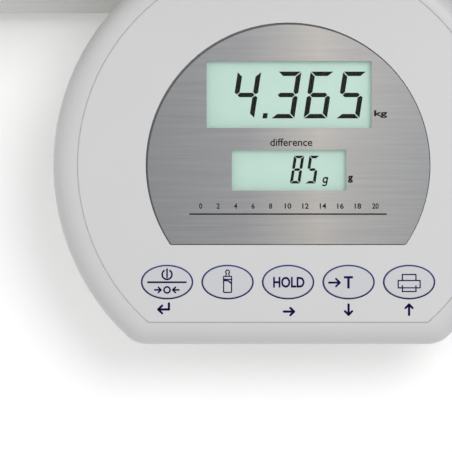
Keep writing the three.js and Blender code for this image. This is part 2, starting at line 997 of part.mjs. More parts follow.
function ductOpening() {
  return ductBlock(slideGap, baseFrontY - cutOverrun, baseFrontY + baseWall + cutOverrun);
}

// What the duct's flange needs inside the front wall, so that bosses and linings stay clear of it
function flangeRoom() {
  return ductBlock(ductFlange + slideGap, baseFrontY + baseWall, ductEnd + slideGap);
}

function doorRoom(grow) {
  const depth = door.depth + grow + cutOverrun;
  const middle = door.front - grow + depth / 2;
  const leaf = block(
    door.width + 2 * grow,
    depth,
    doorThickness + grow + cutOverrun,
    0,
    middle,
    baseClearance - cutOverrun,
  );
  const rails = block(
    door.width + 2 * doorRailWidth + 2 * grow,
    depth,
    doorRailThickness + 2 * grow,
    0,
    middle,
    door.top - doorRailThickness - grow,
  );
  return leaf.add(rails);
}

function makeBaseBottom() {
  const outer = loft([
    baseRing(baseBottomRound, baseClearance),
    baseRing(0, baseClearance + baseBottomRound),
    baseRing(0, baseParting),
  ]);
  const inner = loft([baseRing(baseWall, floorTop), baseRing(baseWall, baseParting + cutOverrun)]);
  const bayRim = block(
    door.width + 2 * bayRimWidth,
    door.depth + bayRimWidth - baseBottomRound,
    bayRimHeight + baseFloor - baseBottomRound,
    0,
    door.front - bayRimWidth + (door.depth + bayRimWidth - baseBottomRound) / 2,
    baseClearance + baseBottomRound,
  );
  const footBosses = footPlaces.map(([, x, y]) =>
    rod(footBossRadius, footBossTop - baseClearance, x, y, baseClearance),
  );
  const screwPosts = baseScrewPlaces.map(([x, y]) =>
    rod(screwBossRadius, baseLowerHeight, x, y, baseClearance),
  );
  const boardPosts = mainBoardPosts.map(([x, y]) =>
    rod(
      mainBoardPostRadius,
      mainBoardHeight - floorTop + baseFloor / 2,
      x,
      y,
      floorTop - baseFloor / 2,
      screwSteps,
    ),
  );
  const through = baseFloor + bayRimHeight + 2 * cutOverrun;
  const bay = block(
    bayOuter.width + 2 * seatGap,
    bayOuter.depth + 2 * seatGap,
    through,
    0,
    bayCentreY,
    baseClearance - cutOverrun,
  );
  const footHoles = footPlaces.map(([, x, y]) =>
    rod(
      spindleRadius + footThreadGap,
      footBossTop - baseClearance + 2 * cutOverrun,
      x,
      y,
      baseClearance - cutOverrun,
    ),
  );
  const screwWells = baseScrewPlaces.map(([x, y]) =>
    rod(
      screwHeadRadius + screwWellGap,
      baseScrewSeat() - baseClearance + cutOverrun,
      x,
      y,
      baseClearance - cutOverrun,
      screwSteps,
    ).add(
      rod(
        screwRadius + screwHoleGap,
        baseLowerHeight + 2 * cutOverrun,
        x,
        y,
        baseClearance - cutOverrun,
        screwSteps,
      ),
    ),
  );
  const boltWells = cellBolts.lower.map((x) =>
    rod(
      cellBoltHeadRadius + screwWellGap,
      baseFloor + 2 * cutOverrun,
      x,
      trayCentreY,
      baseClearance - cutOverrun,
      screwSteps,
    ),
  );
  return outer
    .subtract(inner)
    .add(bayRim)
    .add(union([...footBosses, ...screwPosts, ...boardPosts]))
    .subtract(bay)
    .subtract(doorRoom(slideGap))
    .subtract(union([...footHoles, ...screwWells, ...boltWells]))
    .subtract(ductOpening())
    .subtract(flangeRoom())
    .subtract(socketHole());
}

function baseScrewSeat() {
  return baseParting + partingGap - (baseScrewLength - baseScrewGrip);
}

function socketHole() {
  const hole = new THREE.CylinderGeometry(
    socketMouthRadius + seatGap,
    socketMouthRadius + seatGap,
    baseWall + 2 * cutOverrun,
    rodSteps,
  ).translate(-socketSide, baseRearY - baseWall / 2, socketHeight);
  return toSolid(hole);
}
place(scale, "base_bottom_shell", makeBaseBottom(), whiteShell);

// Base top cover: the lid of the base, with a collared hole for each tray post
const postPlaces = [
  ["front_left", -postSide, trayCentreY - postAlong],
  ["front_right", postSide, trayCentreY - postAlong],
  ["rear_left", -postSide, trayCentreY + postAlong],
  ["rear_right", postSide, trayCentreY + postAlong],
];
const levelY = baseFrontY + levelFrontInset;

function makeBaseTop() {
  const bottom = baseParting + partingGap;
  const rings = [baseRing(0, bottom), baseRing(0, coverTop - baseTopRound)];
  for (let i = 1; i <= rollSteps; i++) {
    const angle = (i / rollSteps) * (Math.PI / 2);
    const inset = baseTopRound * (1 - Math.cos(angle));
    rings.push(baseRing(inset, coverTop - baseTopRound * (1 - Math.sin(angle))));
  }
  const cavity = loft([
    baseRing(baseWall, bottom - cutOverrun),
    baseRing(baseWall, coverTop - baseTopRound),
    baseRing(baseWall + baseTopRound / 2, coverTop - baseCoverSkin),
  ]);
  const collars = postPlaces.map(([, x, y]) =>
    rod(
      postHoleRadius + collarThickness,
      collarHeight + baseCoverSkin,
      x,
      y,
      coverTop - baseCoverSkin,
    ),
  );
  const postHoles = postPlaces.map(([, x, y]) =>
    rod(
      postHoleRadius,
      collarHeight + baseCoverSkin + 2 * cutOverrun,
      x,
      y,
      coverTop - baseCoverSkin - cutOverrun,
    ),
  );
  const bosses = baseScrewPlaces.map(([x, y]) =>
    rod(screwBossRadius, coverTop - bottom - baseCoverSkin / 2, x, y, bottom),
  );
  const pilots = baseScrewPlaces.map(([x, y]) =>
    rod(
      screwRadius + screwHoleGap,
      baseScrewGrip + 2 * cutOverrun,
      x,
      y,
      bottom - cutOverrun,
      screwSteps,
    ),
  );
  const levelHole = rod(
    levelRadius + seatGap,
    baseCoverSkin + 2 * cutOverrun,
    -levelSide,
    levelY,
    coverTop - baseCoverSkin - cutOverrun,
  );
  return union([loft(rings).subtract(cavity), ...collars, ...bosses])
    .subtract(union([...postHoles, ...pilots]))
    .subtract(levelHole)
    .subtract(ductOpening())
    .subtract(flangeRoom());
}
place(scale, "base_top_cover", makeBaseTop(), whiteShell);

const baseScrew = screw(screwRadius, baseScrewLength, screwHeadRadius, screwHeadHeight);
baseScrewPlaces.forEach(([x, y], i) => {
  place(scale, `base_screw_${i + 1}`, baseScrew, steel, x, y, baseScrewSeat());
});

// Levelling feet: a rubber pad, and a threaded spindle with a finger wheel standing in its cup
const footPad = turned([
  [0, 0],
  [footPadRadius - footPadBevel, 0],
  [footPadRadius, footPadBevel],
  [footPadRadius - footPadBevel, footPadHeight],
  [footCupRadius, footPadHeight],
  [footCupRadius, footPadHeight - footCupDepth],
  [0, footPadHeight - footCupDepth],
]);
function makeSpindle() {
  const tip = footPadHeight - footCupDepth;
  const rise = spindleWheelBase - tip;
  const stem = turned([
    [0, tip],
    [spindleTipRadius, tip],
    [spindleTipRadius, tip + rise / 2],
    [spindleRadius, spindleWheelBase],
    [spindleRadius, spindleTop],
    [0, spindleTop],
  ]);
  const notches = Array.from({ length: spindleWheelNotches * 2 }, (_, i) => {
    const angle = (i * Math.PI) / spindleWheelNotches;
    const radius = spindleWheelRadius - (i % 2) * spindleWheelNotch;
    return new THREE.Vector2(radius * Math.cos(angle), radius * Math.sin(angle));
  });
  return stem.add(prism(notches, spindleWheelHeight, spindleWheelBase));
}
const spindle = makeSpindle();
footPlaces.forEach(([corner, x, y]) => {
  place(scale, `foot_pad_${corner}`, footPad, rubber, x, y);
  place(scale, `foot_spindle_${corner}`, spindle, steel, x, y);
});

// Battery box over the opening in the floor, its contact strips, its cells and the sliding door
function makeBatteryBox() {
  const outer = block(
    bayOuter.width,
    bayOuter.depth,
    bayInner.height + bayWall,
    0,
    bayCentreY,
    bayRimTop,
  );
  const flange = block(
    bayOuter.width + 2 * bayFlange,
    bayOuter.depth + 2 * bayFlange,
    bayFlangeThickness,
    0,
    bayCentreY,
    bayRimTop,
  );
  const inner = block(
    bayInner.width,
    bayInner.depth,
    bayInner.height + cutOverrun,
    0,
    bayCentreY,
    bayRimTop - cutOverrun,
  );
  return outer.add(flange).subtract(inner);
}
place(scale, "battery_box", makeBatteryBox(), blackPlastic);

const cellX = (i) => (i - (cellCount - 1) / 2) * cellPitch;
const cellHeight = bayRimTop + cellRadius;
function makeContactStrip(springFirst) {
  const strip = block(
    bayInner.width - 2 * seatGap,
    contactStripThickness,
    2 * cellRadius,
    0,
    contactStripThickness / 2,
    -cellRadius,
  );
  const contacts = Array.from({ length: cellCount }, (_, i) => {
    const sprung = (i % 2 === 0) === springFirst;
    const length = sprung ? contactSpringLength : contactButtonLength;
    const tip = sprung ? contactSpringTipRadius : contactSpringRadius;
    const buried = contactStripThickness / 2;
    return toSolid(
      new THREE.CylinderGeometry(tip, contactSpringRadius, length + buried, screwSteps).translate(
        cellX(i),
        contactStripThickness + (length - buried) / 2,
        0,
      ),
    );
  });
  return union([strip, ...contacts]);
}
const bayFrontInside = bayCentreY - bayInner.depth / 2 + seatGap;
const bayRearInside = bayCentreY + bayInner.depth / 2 - seatGap;
place(
  scale,
  "contact_strip_front",
  makeContactStrip(true),
  steel,
  0,
  bayFrontInside,
  cellHeight,
);
place(
  scale,
  "contact_strip_rear",
  makeContactStrip(true).mirror([0, 1, 0]).mirror([1, 0, 0]),
  steel,
  0,
  bayRearInside,
  cellHeight,
);

const batteryCell = turned([
  [0, 0],
  [cellRadius, 0],
  [cellRadius, cellLength],
  [cellNubRadius, cellLength],
  [cellNubRadius, cellLength + cellNubLength],
  [0, cellLength + cellNubLength],
]);
for (let i = 0; i < cellCount; i++) {
  const facesRear = i % 2 === 0;
  const reach = (cellLength + cellNubLength) / 2;
  const laid = batteryCell.rotate([facesRear ? -90 : 90, 0, 0]);
  const y = bayCentreY + (facesRear ? -reach : reach);
  place(scale, `battery_cell_${i + 1}`, laid, cellJacket, cellX(i), y, cellHeight);
}

function makeBatteryDoor() {
  const leaf = block(
    door.width,
    door.depth,
    doorThickness,
    0,
    door.front + door.depth / 2,
    baseClearance,
  );
  const rails = block(
    door.width + 2 * doorRailWidth,
    door.depth - baseBottomRound,
    doorRailThickness,
    0,
    door.front + (door.depth - baseBottomRound) / 2,
    door.top - doorRailThickness,
  );
  return leaf.add(rails);
}
place(scale, "battery_door", makeBatteryDoor(), whiteShell);

// Power socket: a round mouth with a centre pin, behind the rear wall
function makeSocket() {
  const mouthDepth = baseWall + seatGap;
  const round = (radius, length, middle) =>
    toSolid(
      new THREE.CylinderGeometry(radius, radius, length, rodSteps).translate(0, middle, 0),
    );
  const body = block(
    socketBodyWidth,
    socketBodyDepth,
    socketBodyHeight,
    0,
    -mouthDepth - socketBodyDepth / 2,
    -socketBodyHeight / 2,
  );
  const mouthLength = mouthDepth + seatGap;
  const mouth = round(socketMouthRadius, mouthLength, -mouthLength / 2);
  const bore = round(
    socketBoreRadius,
    socketBoreDepth + cutOverrun,
    (cutOverrun - socketBoreDepth) / 2,
  );
  const pinLength = socketBoreDepth - socketPinShort + cutOverrun;
  const pin = round(socketPinRadius, pinLength, -socketPinShort - pinLength / 2);
  return body.add(mouth).subtract(bore).add(pin);
}
place(
  scale,
  "power_socket",
  makeSocket(),
  blackPlastic,
  -socketSide,
  baseRearY,
  socketHeight,
);

// Main circuit board on its posts, with its chips and the header for the ribbon
function makeMainBoard() {
  const bottom = mainBoardHeight + seatGap;
  const top = bottom + mainBoardThickness;
  const board = block(mainBoardWidth, mainBoardDepth, mainBoardThickness, 0, mainBoardY, bottom);
  const chips = [-1, 1].map((side) =>
    block(
      chipWidth,
      chipWidth,
      chipHeight + mainBoardThickness / 2,
      (side * mainBoardWidth) / 4,
      mainBoardY,
      bottom + mainBoardThickness / 2,
    ),
  );
  const header = block(
    headerWidth,
    headerDepth,
    headerHeight + mainBoardThickness / 2,
    0,
    mainBoardY - mainBoardDepth / 2 + headerInset + headerDepth / 2,
    top - mainBoardThickness / 2,
  );
  return union([board, ...chips, header]);
}
place(scale, "main_board", makeMainBoard(), boardGreen);

// Ribbon from the display board's connector, through the duct, down to the main board's header
function makeRibbon() {
  const start = new THREE.Vector3(
    0,
    displayConnectorBack,
    boardBottom - displayConnectorHeight - seatGap,
  ).applyMatrix4(tiltMatrix);
  const headerTop = mainBoardHeight + seatGap + mainBoardThickness + headerHeight + seatGap;
  const headerY = mainBoardY - mainBoardDepth / 2 + headerInset + headerDepth / 2;
  const bendY = start.y + (ductEnd - start.y) * ribbonBendShare;
  const centre = [
    [start.y, start.z],
    [start.y + ribbonThickness, ribbonRunHeight + ribbonThickness * 2],
    [bendY, ribbonRunHeight],
    [headerY - headerDepth, ribbonRunHeight],
    [headerY, ribbonRunHeight - ribbonThickness],
    [headerY, headerTop],
  ];
  const strips = centre.slice(1).map(([y, z], i) => {
    const [fromY, fromZ] = centre[i];
    const length = Math.hypot(y - fromY, z - fromZ);
    const strip = new THREE.BoxGeometry(ribbonWidth, length, ribbonThickness);
    strip.rotateX(Math.atan2(z - fromZ, y - fromY));
    return toSolid(strip.translate(0, (y + fromY) / 2, (z + fromZ) / 2));
  });
  const bends = centre.slice(1, -1).map(([y, z]) => {
    const bend = new THREE.CylinderGeometry(
      ribbonThickness / 2,
      ribbonThickness / 2,
      ribbonWidth,
      screwSteps,
    );
    return toSolid(bend.rotateZ(Math.PI / 2).translate(0, y, z));
  });
  return union([...strips, ...bends]);
}
place(scale, "display_ribbon", makeRibbon(), ribbonGrey);

// Chassis plate with its raised seat for the load cell and the two pairs of overload stops
const chassisTop = floorTop + chassisThickness;
const cellBottom = chassisTop + lowerSpacerHeight;
const cellTop = cellBottom + cellBlockHeight;
const upperFrameBottom = cellTop + upperSpacerHeight;
const upperFrameTop = upperFrameBottom + upperFrameThickness;
const boltHole = (x, height, base) =>
  rod(cellBoltRadius + seatGap, height, x, trayCentreY, base, screwSteps);

function makeChassis() {
  const plate = block(chassisWidth, chassisDepth, chassisThickness, 0, trayCentreY, floorTop);
  const seat = block(
    cellEndLength,
    cellBlockWidth,
    lowerSpacerHeight,
    (cellEndLength - cellBlockLength) / 2,
    trayCentreY,
    chassisTop,
  );
  const stopHeight = upperFrameBottom - stopClearance - chassisTop;
  const stops = [-1, 1].flatMap((side) =>
    [-1, 1].map((end) =>
      rod(
        stopRadius,
        stopHeight + chassisThickness / 2,
        side * stopSide,
        trayCentreY + end * stopAlong,
        chassisTop - chassisThickness / 2,
        screwSteps,
      ),
    ),
  );
  const holes = cellBolts.lower.map((x) =>
    boltHole(x, chassisThickness + lowerSpacerHeight + 2 * cutOverrun, floorTop - cutOverrun),
  );
  return union([plate, seat, ...stops]).subtract(union(holes));
}
place(scale, "chassis_plate", makeChassis(), steel);

// Load cell: an aluminium bar thinned by two bores joined by a slot
function makeLoadCell() {
  const bar = block(cellBlockLength, cellBlockWidth, cellBlockHeight, 0, trayCentreY, cellBottom);
  const through = cellBlockWidth + 2 * cutOverrun;
  const middle = cellBottom + cellBlockHeight / 2;
  const bores = [-1, 1].map((side) =>
    toSolid(
      new THREE.CylinderGeometry(cellBoreRadius, cellBoreRadius, through, rodSteps).translate(
        side * cellBoreSpread,
        trayCentreY,
        middle,
      ),
    ),
  );
  const slot = block(
    2 * cellBoreSpread,
    through,
    cellSlotHeight,
    0,
    trayCentreY,
    middle - cellSlotHeight / 2,
  );
  const lower = cellBolts.lower.map((x) =>
    boltHole(x, cellBoltDepth + cutOverrun, cellBottom - cutOverrun),
  );
  const upper = cellBolts.upper.map((x) =>
    boltHole(x, cellBoltDepth + cutOverrun, cellTop - cellBoltDepth),
  );
  return bar.subtract(union([...bores, slot, ...lower, ...upper]));
}
place(scale, "load_cell", makeLoadCell(), aluminium);

function makeUpperSpacer() {
  const pad = block(
    cellEndLength,
    cellBlockWidth,
    upperSpacerHeight,
    (cellBlockLength - cellEndLength) / 2,
    trayCentreY,
    cellTop,
  );
  const holes = cellBolts.upper.map((x) =>
    boltHole(x, upperSpacerHeight + 2 * cutOverrun, cellTop - cutOverrun),
  );
  return pad.subtract(union(holes));
}
place(scale, "upper_spacer", makeUpperSpacer(), aluminium);

// Four bolts: two up through the chassis plate, two down through the upper frame
const cellBolt = (grip) =>
  screw(cellBoltRadius, grip + cellBoltReach, cellBoltHeadRadius, cellBoltHeadHeight);
cellBolts.lower.forEach((x, i) => {
  const bolt = cellBolt(chassisThickness + lowerSpacerHeight);
  place(scale, `cell_bolt_lower_${i + 1}`, bolt, steel, x, trayCentreY, floorTop);
});
cellBolts.upper.forEach((x, i) => {
  const bolt = cellBolt(upperFrameThickness + upperSpacerHeight).rotate([180, 0, 0]);
  place(scale, `cell_bolt_upper_${i + 1}`, bolt, steel, x, trayCentreY, upperFrameTop);
});

// Upper frame with its four welded posts, which pass through the cover without touching it
function makeUpperFrame() {
  const outline = roundedOutline(
    postSide + upperFrameMargin,
    postAlong + upperFrameMargin,
    upperFrameCorner,
    cornerArcSteps,
  );
  const plate = prism(outline, upperFrameThickness, upperFrameBottom);
  const cutOutline = roundedOutline(
    upperFrameCutWidth / 2,
    upperFrameCutDepth / 2,
    upperFrameCutCorner,
    cornerArcSteps,
  );
  const cuts = [-1, 1].flatMap((side) =>
    [-1, 1].map((end) =>
      prism(cutOutline, upperFrameThickness + 2 * cutOverrun, upperFrameBottom - cutOverrun)
        .translate([side * upperFrameCutSide, end * upperFrameCutAlong, 0]),
    ),
  );
  const frame = plate.subtract(union(cuts)).translate([0, trayCentreY, 0]);
  const posts = postPlaces.map(([, x, y]) =>
    rod(postRadius, postTop - upperFrameBottom, x, y, upperFrameBottom),
  );
  const holes = cellBolts.upper.map((x) =>
    boltHole(x, upperFrameThickness + 2 * cutOverrun, upperFrameBottom - cutOverrun),
  );
  return union([frame, ...posts]).subtract(union(holes));
}
place(scale, "upper_frame", makeUpperFrame(), steel);

// Rubber caps on the posts
const tubeCap = turned([
  [0, capTopThickness],
  [0, 0],
  [postRadius + seatGap, 0],
  [postRadius + seatGap, -capSkirtHeight],
  [capRadius, -capSkirtHeight],
  [capRadius, capTopThickness - capBevel],
  [capRadius - capBevel, capTopThickness],
  [0, capTopThickness],
]);
postPlaces.forEach(([corner, x, y]) => {
  place(scale, `tray_cap_${corner}`, tubeCap, rubber, x, y, postTop);
});

// Bull's-eye spirit level let into the cover
const levelHousing = turned([
  [0, -levelDepth],
  [levelRadius, -levelDepth],
  [levelRadius, seatGap],
  [levelFlangeRadius, seatGap],
  [levelFlangeRadius, seatGap + levelFlangeHeight],
  [levelVialRadius + seatGap, seatGap + levelFlangeHeight],
  [levelVialRadius + seatGap, -levelVialDepth],
  [0, -levelVialDepth],
]);
place(scale, "level_housing", levelHousing, frameWhite, -levelSide, levelY, coverTop);
const levelVial = turned([
  [0, seatGap - levelVialDepth],
  [levelVialRadius, seatGap - levelVialDepth],
  [levelVialRadius, levelFlangeHeight],
  [levelVialRadius / 2, levelFlangeHeight + (levelVialDome * 3) / 4],
  [0, levelFlangeHeight + levelVialDome],
]);
place(scale, "level_vial", levelVial, levelGreen, -levelSide, levelY, coverTop);

// Weighing tray: a cradle with a flat floor, walls that steepen to a rolled lip, and lower ends
function trayOutline(outShare, lipReach) {
  const mix = (from, to) => from + (to - from) * outShare;
  const halfX = mix(trayFloorWidth / 2, trayWidth / 2 - trayLipWidth) + lipReach;
  const halfY = mix(trayFloorDepth / 2, trayDepth / 2 - trayLipWidth) + lipReach;
  const corner = mix(trayFloorCorner, trayCornerRadius - trayLipWidth) + lipReach;
  return roundedOutline(halfX, halfY, corner, trayCornerSteps, traySideSteps, trayEndSteps);
}

function trayRing(outShare, lipReach, rise) {
  return trayOutline(outShare, lipReach).map((p) => {
    const along = (2 * p.x) / trayWidth;
    const height = rise * (1 - trayEndDropShare * along * along);
    return new THREE.Vector3(p.x, p.y, traySkin + height);
  });
}

// The same rings moved off the surface by the wall's thickness, on the side away from the baby
function undersideOf(rings) {
  return rings.map((ring, r) =>
    ring.map((p, k) => {
      if (r === 0) return new THREE.Vector3(p.x, p.y, p.z - traySkin);
      const along = ring[(k + 1) % ring.length].clone().sub(ring.at(k - 1));
      const outward = rings[Math.min(r + 1, rings.length - 1)][k].clone().sub(rings[r - 1][k]);
      return p.clone().addScaledVector(along.cross(outward).normalize(), traySkin);
    }),
  );
}

function makeTray() {
  const upper = [];
  for (let i = 0; i <= trayWallSteps; i++) {
    const angle = (i / trayWallSteps) * trayRimAngle;
    const outShare = Math.sin(angle) / Math.sin(trayRimAngle);
    const riseShare = (1 - Math.cos(angle)) / (1 - Math.cos(trayRimAngle));
    upper.push(trayRing(outShare, 0, trayRise * riseShare));
  }
  trayLipOutShares.forEach((share, i) => {
    const rise = trayRise + trayLipHeight * trayLipUpShares[i];
    upper.push(trayRing(1, trayLipWidth * share, rise));
  });
  const shell = loft([...undersideOf(upper), ...upper.toReversed()]);
  const sockets = postPlaces.map(([, x, y]) =>
    rod(
      traySocketRadius,
      traySocketDepth + traySkin / 2,
      x,
      y - trayCentreY,
      -traySocketDepth,
    ),
  );
  const ribBase = -trayRibDepth;
  const ribHeight = trayRibDepth + traySkin / 2;
  const ribs = [
    block(2 * postSide, trayRibThickness, ribHeight, 0, -postAlong, ribBase),
    block(2 * postSide, trayRibThickness, ribHeight, 0, postAlong, ribBase),
    block(trayRibThickness, 2 * postAlong, ribHeight, -postSide, 0, ribBase),
    block(trayRibThickness, 2 * postAlong, ribHeight, postSide, 0, ribBase),
  ];
  const bores = postPlaces.map(([, x, y]) =>
    rod(
      traySocketRadius - traySocketWall,
      traySocketDepth + cutOverrun,
      x,
      y - trayCentreY,
      -traySocketDepth - cutOverrun,
    ),
  );
  return union([shell, ...sockets, ...ribs]).subtract(union(bores));
}
place(scale, "weighing_tray", makeTray(), trayWhite, 0, trayCentreY, trayUnderside);

// The origin goes under the middle of the scale's depth
scale.updateMatrixWorld(true);
const extent = new THREE.Box3().setFromObject(scale, true);
scale.position.y = -(extent.min.y + extent.max.y) / 2;

export default scale;
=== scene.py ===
import math

import bmesh
import bpy
from mathutils import Matrix, Vector


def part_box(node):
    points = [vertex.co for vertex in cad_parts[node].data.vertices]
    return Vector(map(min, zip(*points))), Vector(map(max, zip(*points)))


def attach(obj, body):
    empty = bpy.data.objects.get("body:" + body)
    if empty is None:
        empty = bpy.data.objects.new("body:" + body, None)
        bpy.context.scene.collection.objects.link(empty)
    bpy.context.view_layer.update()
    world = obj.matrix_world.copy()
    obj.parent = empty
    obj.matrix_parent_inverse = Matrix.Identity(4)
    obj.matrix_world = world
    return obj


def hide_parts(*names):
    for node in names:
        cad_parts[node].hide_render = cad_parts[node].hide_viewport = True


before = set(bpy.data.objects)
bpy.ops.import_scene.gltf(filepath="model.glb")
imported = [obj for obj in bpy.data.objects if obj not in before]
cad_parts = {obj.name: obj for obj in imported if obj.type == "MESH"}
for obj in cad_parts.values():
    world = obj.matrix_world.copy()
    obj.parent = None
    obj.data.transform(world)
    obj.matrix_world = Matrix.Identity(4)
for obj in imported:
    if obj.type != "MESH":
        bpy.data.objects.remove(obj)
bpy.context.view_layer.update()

# Levelling feet: a moulded rubber pad under each corner, and a zinc-plated spindle with a rolled thread
# and a lobed finger wheel, which stands in the pad's cup. Sizes are in millimetres, here and below.
mm = 0.001
corners = ("front_left", "front_right", "rear_left", "rear_right")


def corners_of(node):
    """The lowest and the highest corner of a CAD node, in millimetres"""
    return tuple(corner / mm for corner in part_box(node))


def middle_of(node):
    low, high = corners_of(node)
    return (low + high) / 2


def tint(red, green, blue):
    """A colour as a screen shows it, 0 to 255, as the linear values that a shader takes"""
    linear = [((part / 255 + 0.055) / 1.055) ** 2.4 for part in (red, green, blue)]
    return (*linear, 1.0)


def toned(colour, share):
    return (*(share * part for part in colour[:3]), 1.0)


class Signal:
    """The output of a shader node; arithmetic on it adds Math nodes"""

    def __init__(self, finish, output):
        self.finish = finish
        self.output = output

    def maths(self, operation, *others):
        sockets = dict(enumerate((self, *others)))
        return self.finish.node("ShaderNodeMath", {"operation": operation}, sockets)

    def __add__(self, other):
        return self.maths("ADD", other)

    def __sub__(self, other):
        return self.maths("SUBTRACT", other)

    def __rsub__(self, other):
        return self.maths("MULTIPLY_ADD", -1, other)

    def __mul__(self, other):
        return self.maths("MULTIPLY", other)

    def __truediv__(self, other):
        return self.maths("DIVIDE", other)

    def __gt__(self, other):
        return self.maths("GREATER_THAN", other)

    def __lt__(self, other):
        return self.maths("LESS_THAN", other)

    def __abs__(self):
        return self.maths("ABSOLUTE")

    __radd__ = __add__
    __rmul__ = __mul__


class Finish:
    """A material in the making: its nodes, and the shader that they feed"""

    def __init__(self, owner, shader="Principled BSDF", **constants):
        owner.use_nodes = True
        self.owner = owner
        self.tree = owner.node_tree
        self.shader = self.tree.nodes[shader]
        self.feed(**constants)

    def link(self, sockets, values):
        for key, value in values.items():
            if isinstance(value, Signal):
                self.tree.links.new(value.output, sockets[key])
            else:
                sockets[key].default_value = value

    def feed(self, **values):
        self.link(self.shader.inputs, {key.replace("_", " "): value for key, value in values.items()})

    def node(self, kind, settings, sockets, output=0):
        made = self.tree.nodes.new(kind)
        for name, value in settings.items():
            if name != "stops":
                setattr(made, name, value)
                continue
            ramp = made.color_ramp.elements
            while len(ramp) < len(value):
                ramp.new(1.0)
            for element, (position, colour) in zip(ramp, value):
                element.position = position
                element.color = colour
        self.link(made.inputs, sockets)
        return Signal(self, made.outputs[output])

    def spot(self, origin=(0, 0, 0), tilt=0.0, stretch=(1, 1, 1)):
        """The place on the object in millimetres, from an origin, in a frame tilted about X"""
        place = self.node("ShaderNodeTexCoord", {}, {}, "Object")
        sockets = {
            "Vector": place,
            "Location": Vector(origin) * mm,
            "Rotation": (tilt, 0, 0),
            "Scale": Vector(stretch) * mm,
        }
        return self.node("ShaderNodeMapping", {"vector_type": "TEXTURE"}, sockets)

    def axis(self, spot, name):
        return self.node("ShaderNodeSeparateXYZ", {}, {0: spot}, name)

    def reach(self, spot):
        """The distance from the upright line through the origin of a place"""
        across, along = self.axis(spot, "X"), self.axis(spot, "Y")
        return (across * across + along * along).maths("SQRT")

    def noise(self, spot, grain, detail=2.0):
        """Noise whose features are about a grain across, in millimetres"""
        sockets = {"Vector": spot, "Scale": 1 / grain, "Detail": detail}
        return self.node("ShaderNodeTexNoise", {}, sockets)

    def blend(self, share, first, second):
        sockets = {0: share, 6: first, 7: second}
        return self.node("ShaderNodeMix", {"data_type": "RGBA"}, sockets, 2)

    def ramp(self, share, stops):
        return self.node("ShaderNodeValToRGB", {"stops": stops}, {0: share})

    def relief(self, height, depth):
        """A bump that follows a signal, its depth in millimetres"""
        bump = self.node("ShaderNodeBump", {}, {"Height": height, "Distance": depth * mm})
        self.feed(Normal=bump)


def material(name, **constants):
    return Finish(bpy.data.materials.new(name), **constants)


def rubber(name, colour):
    """Moulded rubber with a dusty bloom and a dull open grain"""
    finish = material(name)
    spot = finish.spot()
    bloom = finish.noise(spot, 6.0, 4.0)
    finish.feed(Base_Color=finish.blend(bloom, toned(colour, 0.8), toned(colour, 1.5)))
    finish.feed(Roughness=0.72 + 0.16 * bloom)
    finish.relief(finish.noise(spot, 0.35), 0.02)
    return finish.owner


def metal(name, colour, roughness, along=(1, 12, 1)):
    """Plated or milled metal with faint cloudy stains and fine scratches along one axis"""
    finish = material(name, Metallic=0.9)
    stain = finish.noise(finish.spot(), 9.0, 3.0)
    scratch = finish.noise(finish.spot(stretch=along), 0.5)
    finish.feed(Base_Color=finish.blend(stain, toned(colour, 0.86), toned(colour, 1.1)))
    finish.feed(Roughness=roughness - 0.06 + 0.12 * stain + 0.08 * scratch)
    finish.relief(scratch, 0.006)
    return finish.owner


def turned(profile, steps=48):
    """A solid of revolution about Z, from (radius, height) points between two places on the axis
    or round a closed section"""
    mesh = bmesh.new()
    ring = [mesh.verts.new((radius, 0, height)) for radius, height in profile]
    edges = [mesh.edges.new(pair) for pair in zip(ring, ring[1:])]
    bmesh.ops.spin(mesh, geom=ring + edges, axis=(0, 0, 1), angle=math.tau, steps=steps, use_merge=True)
    bmesh.ops.remove_doubles(mesh, verts=mesh.verts, dist=0.001)
    return mesh


def together(parts):
    """Several meshes as one, each left where it is"""
    whole = bmesh.new()
    for part in parts:
        data = bpy.data.meshes.new("part")
        part.to_mesh(data)
        part.free()
        whole.from_mesh(data)
        bpy.data.meshes.remove(data)
    return whole


def moved(mesh, x=0.0, y=0.0, z=0.0):
    bmesh.ops.translate(mesh, vec=(x, y, z), verts=mesh.verts)
    return mesh


def placed(mesh, matrix):
    bmesh.ops.transform(mesh, matrix=matrix, verts=mesh.verts)
    return mesh


def about(axis, degrees):
    return Matrix.Rotation(math.radians(degrees), 4, axis)


def softened(mesh, edges, width, steps):
    """Rounds some edges over a width"""
    bmesh.ops.bevel(
        mesh, geom=edges, offset=width, affect="EDGES", segments=steps, profile=0.5, material=-1
    )
    return mesh


def finished(name, mesh, look, body, slot, *nodes, place=Matrix(), crease=38):
    """Closes a piece: scaled to metres, shaded, and tied to its body and its CAD nodes. The slot is not used
    """
    placed(mesh, Matrix.Scale(mm, 4) @ place)
    bmesh.ops.recalc_face_normals(mesh, faces=mesh.faces)
    data = bpy.data.meshes.new(name)
    mesh.to_mesh(data)
    mesh.free()
    data.polygons.foreach_set("use_smooth", [True] * len(data.polygons))
    data.set_sharp_from_angle(angle=math.radians(crease))
    data.materials.append(look)
    piece = bpy.data.objects.new(name, data)
    bpy.context.scene.collection.objects.link(piece)
    normals = piece.modifiers.new("even normals", "WEIGHTED_NORMAL")
    normals.keep_sharp = True
    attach(piece, body)
    if nodes:
        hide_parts(*nodes)
    return piece


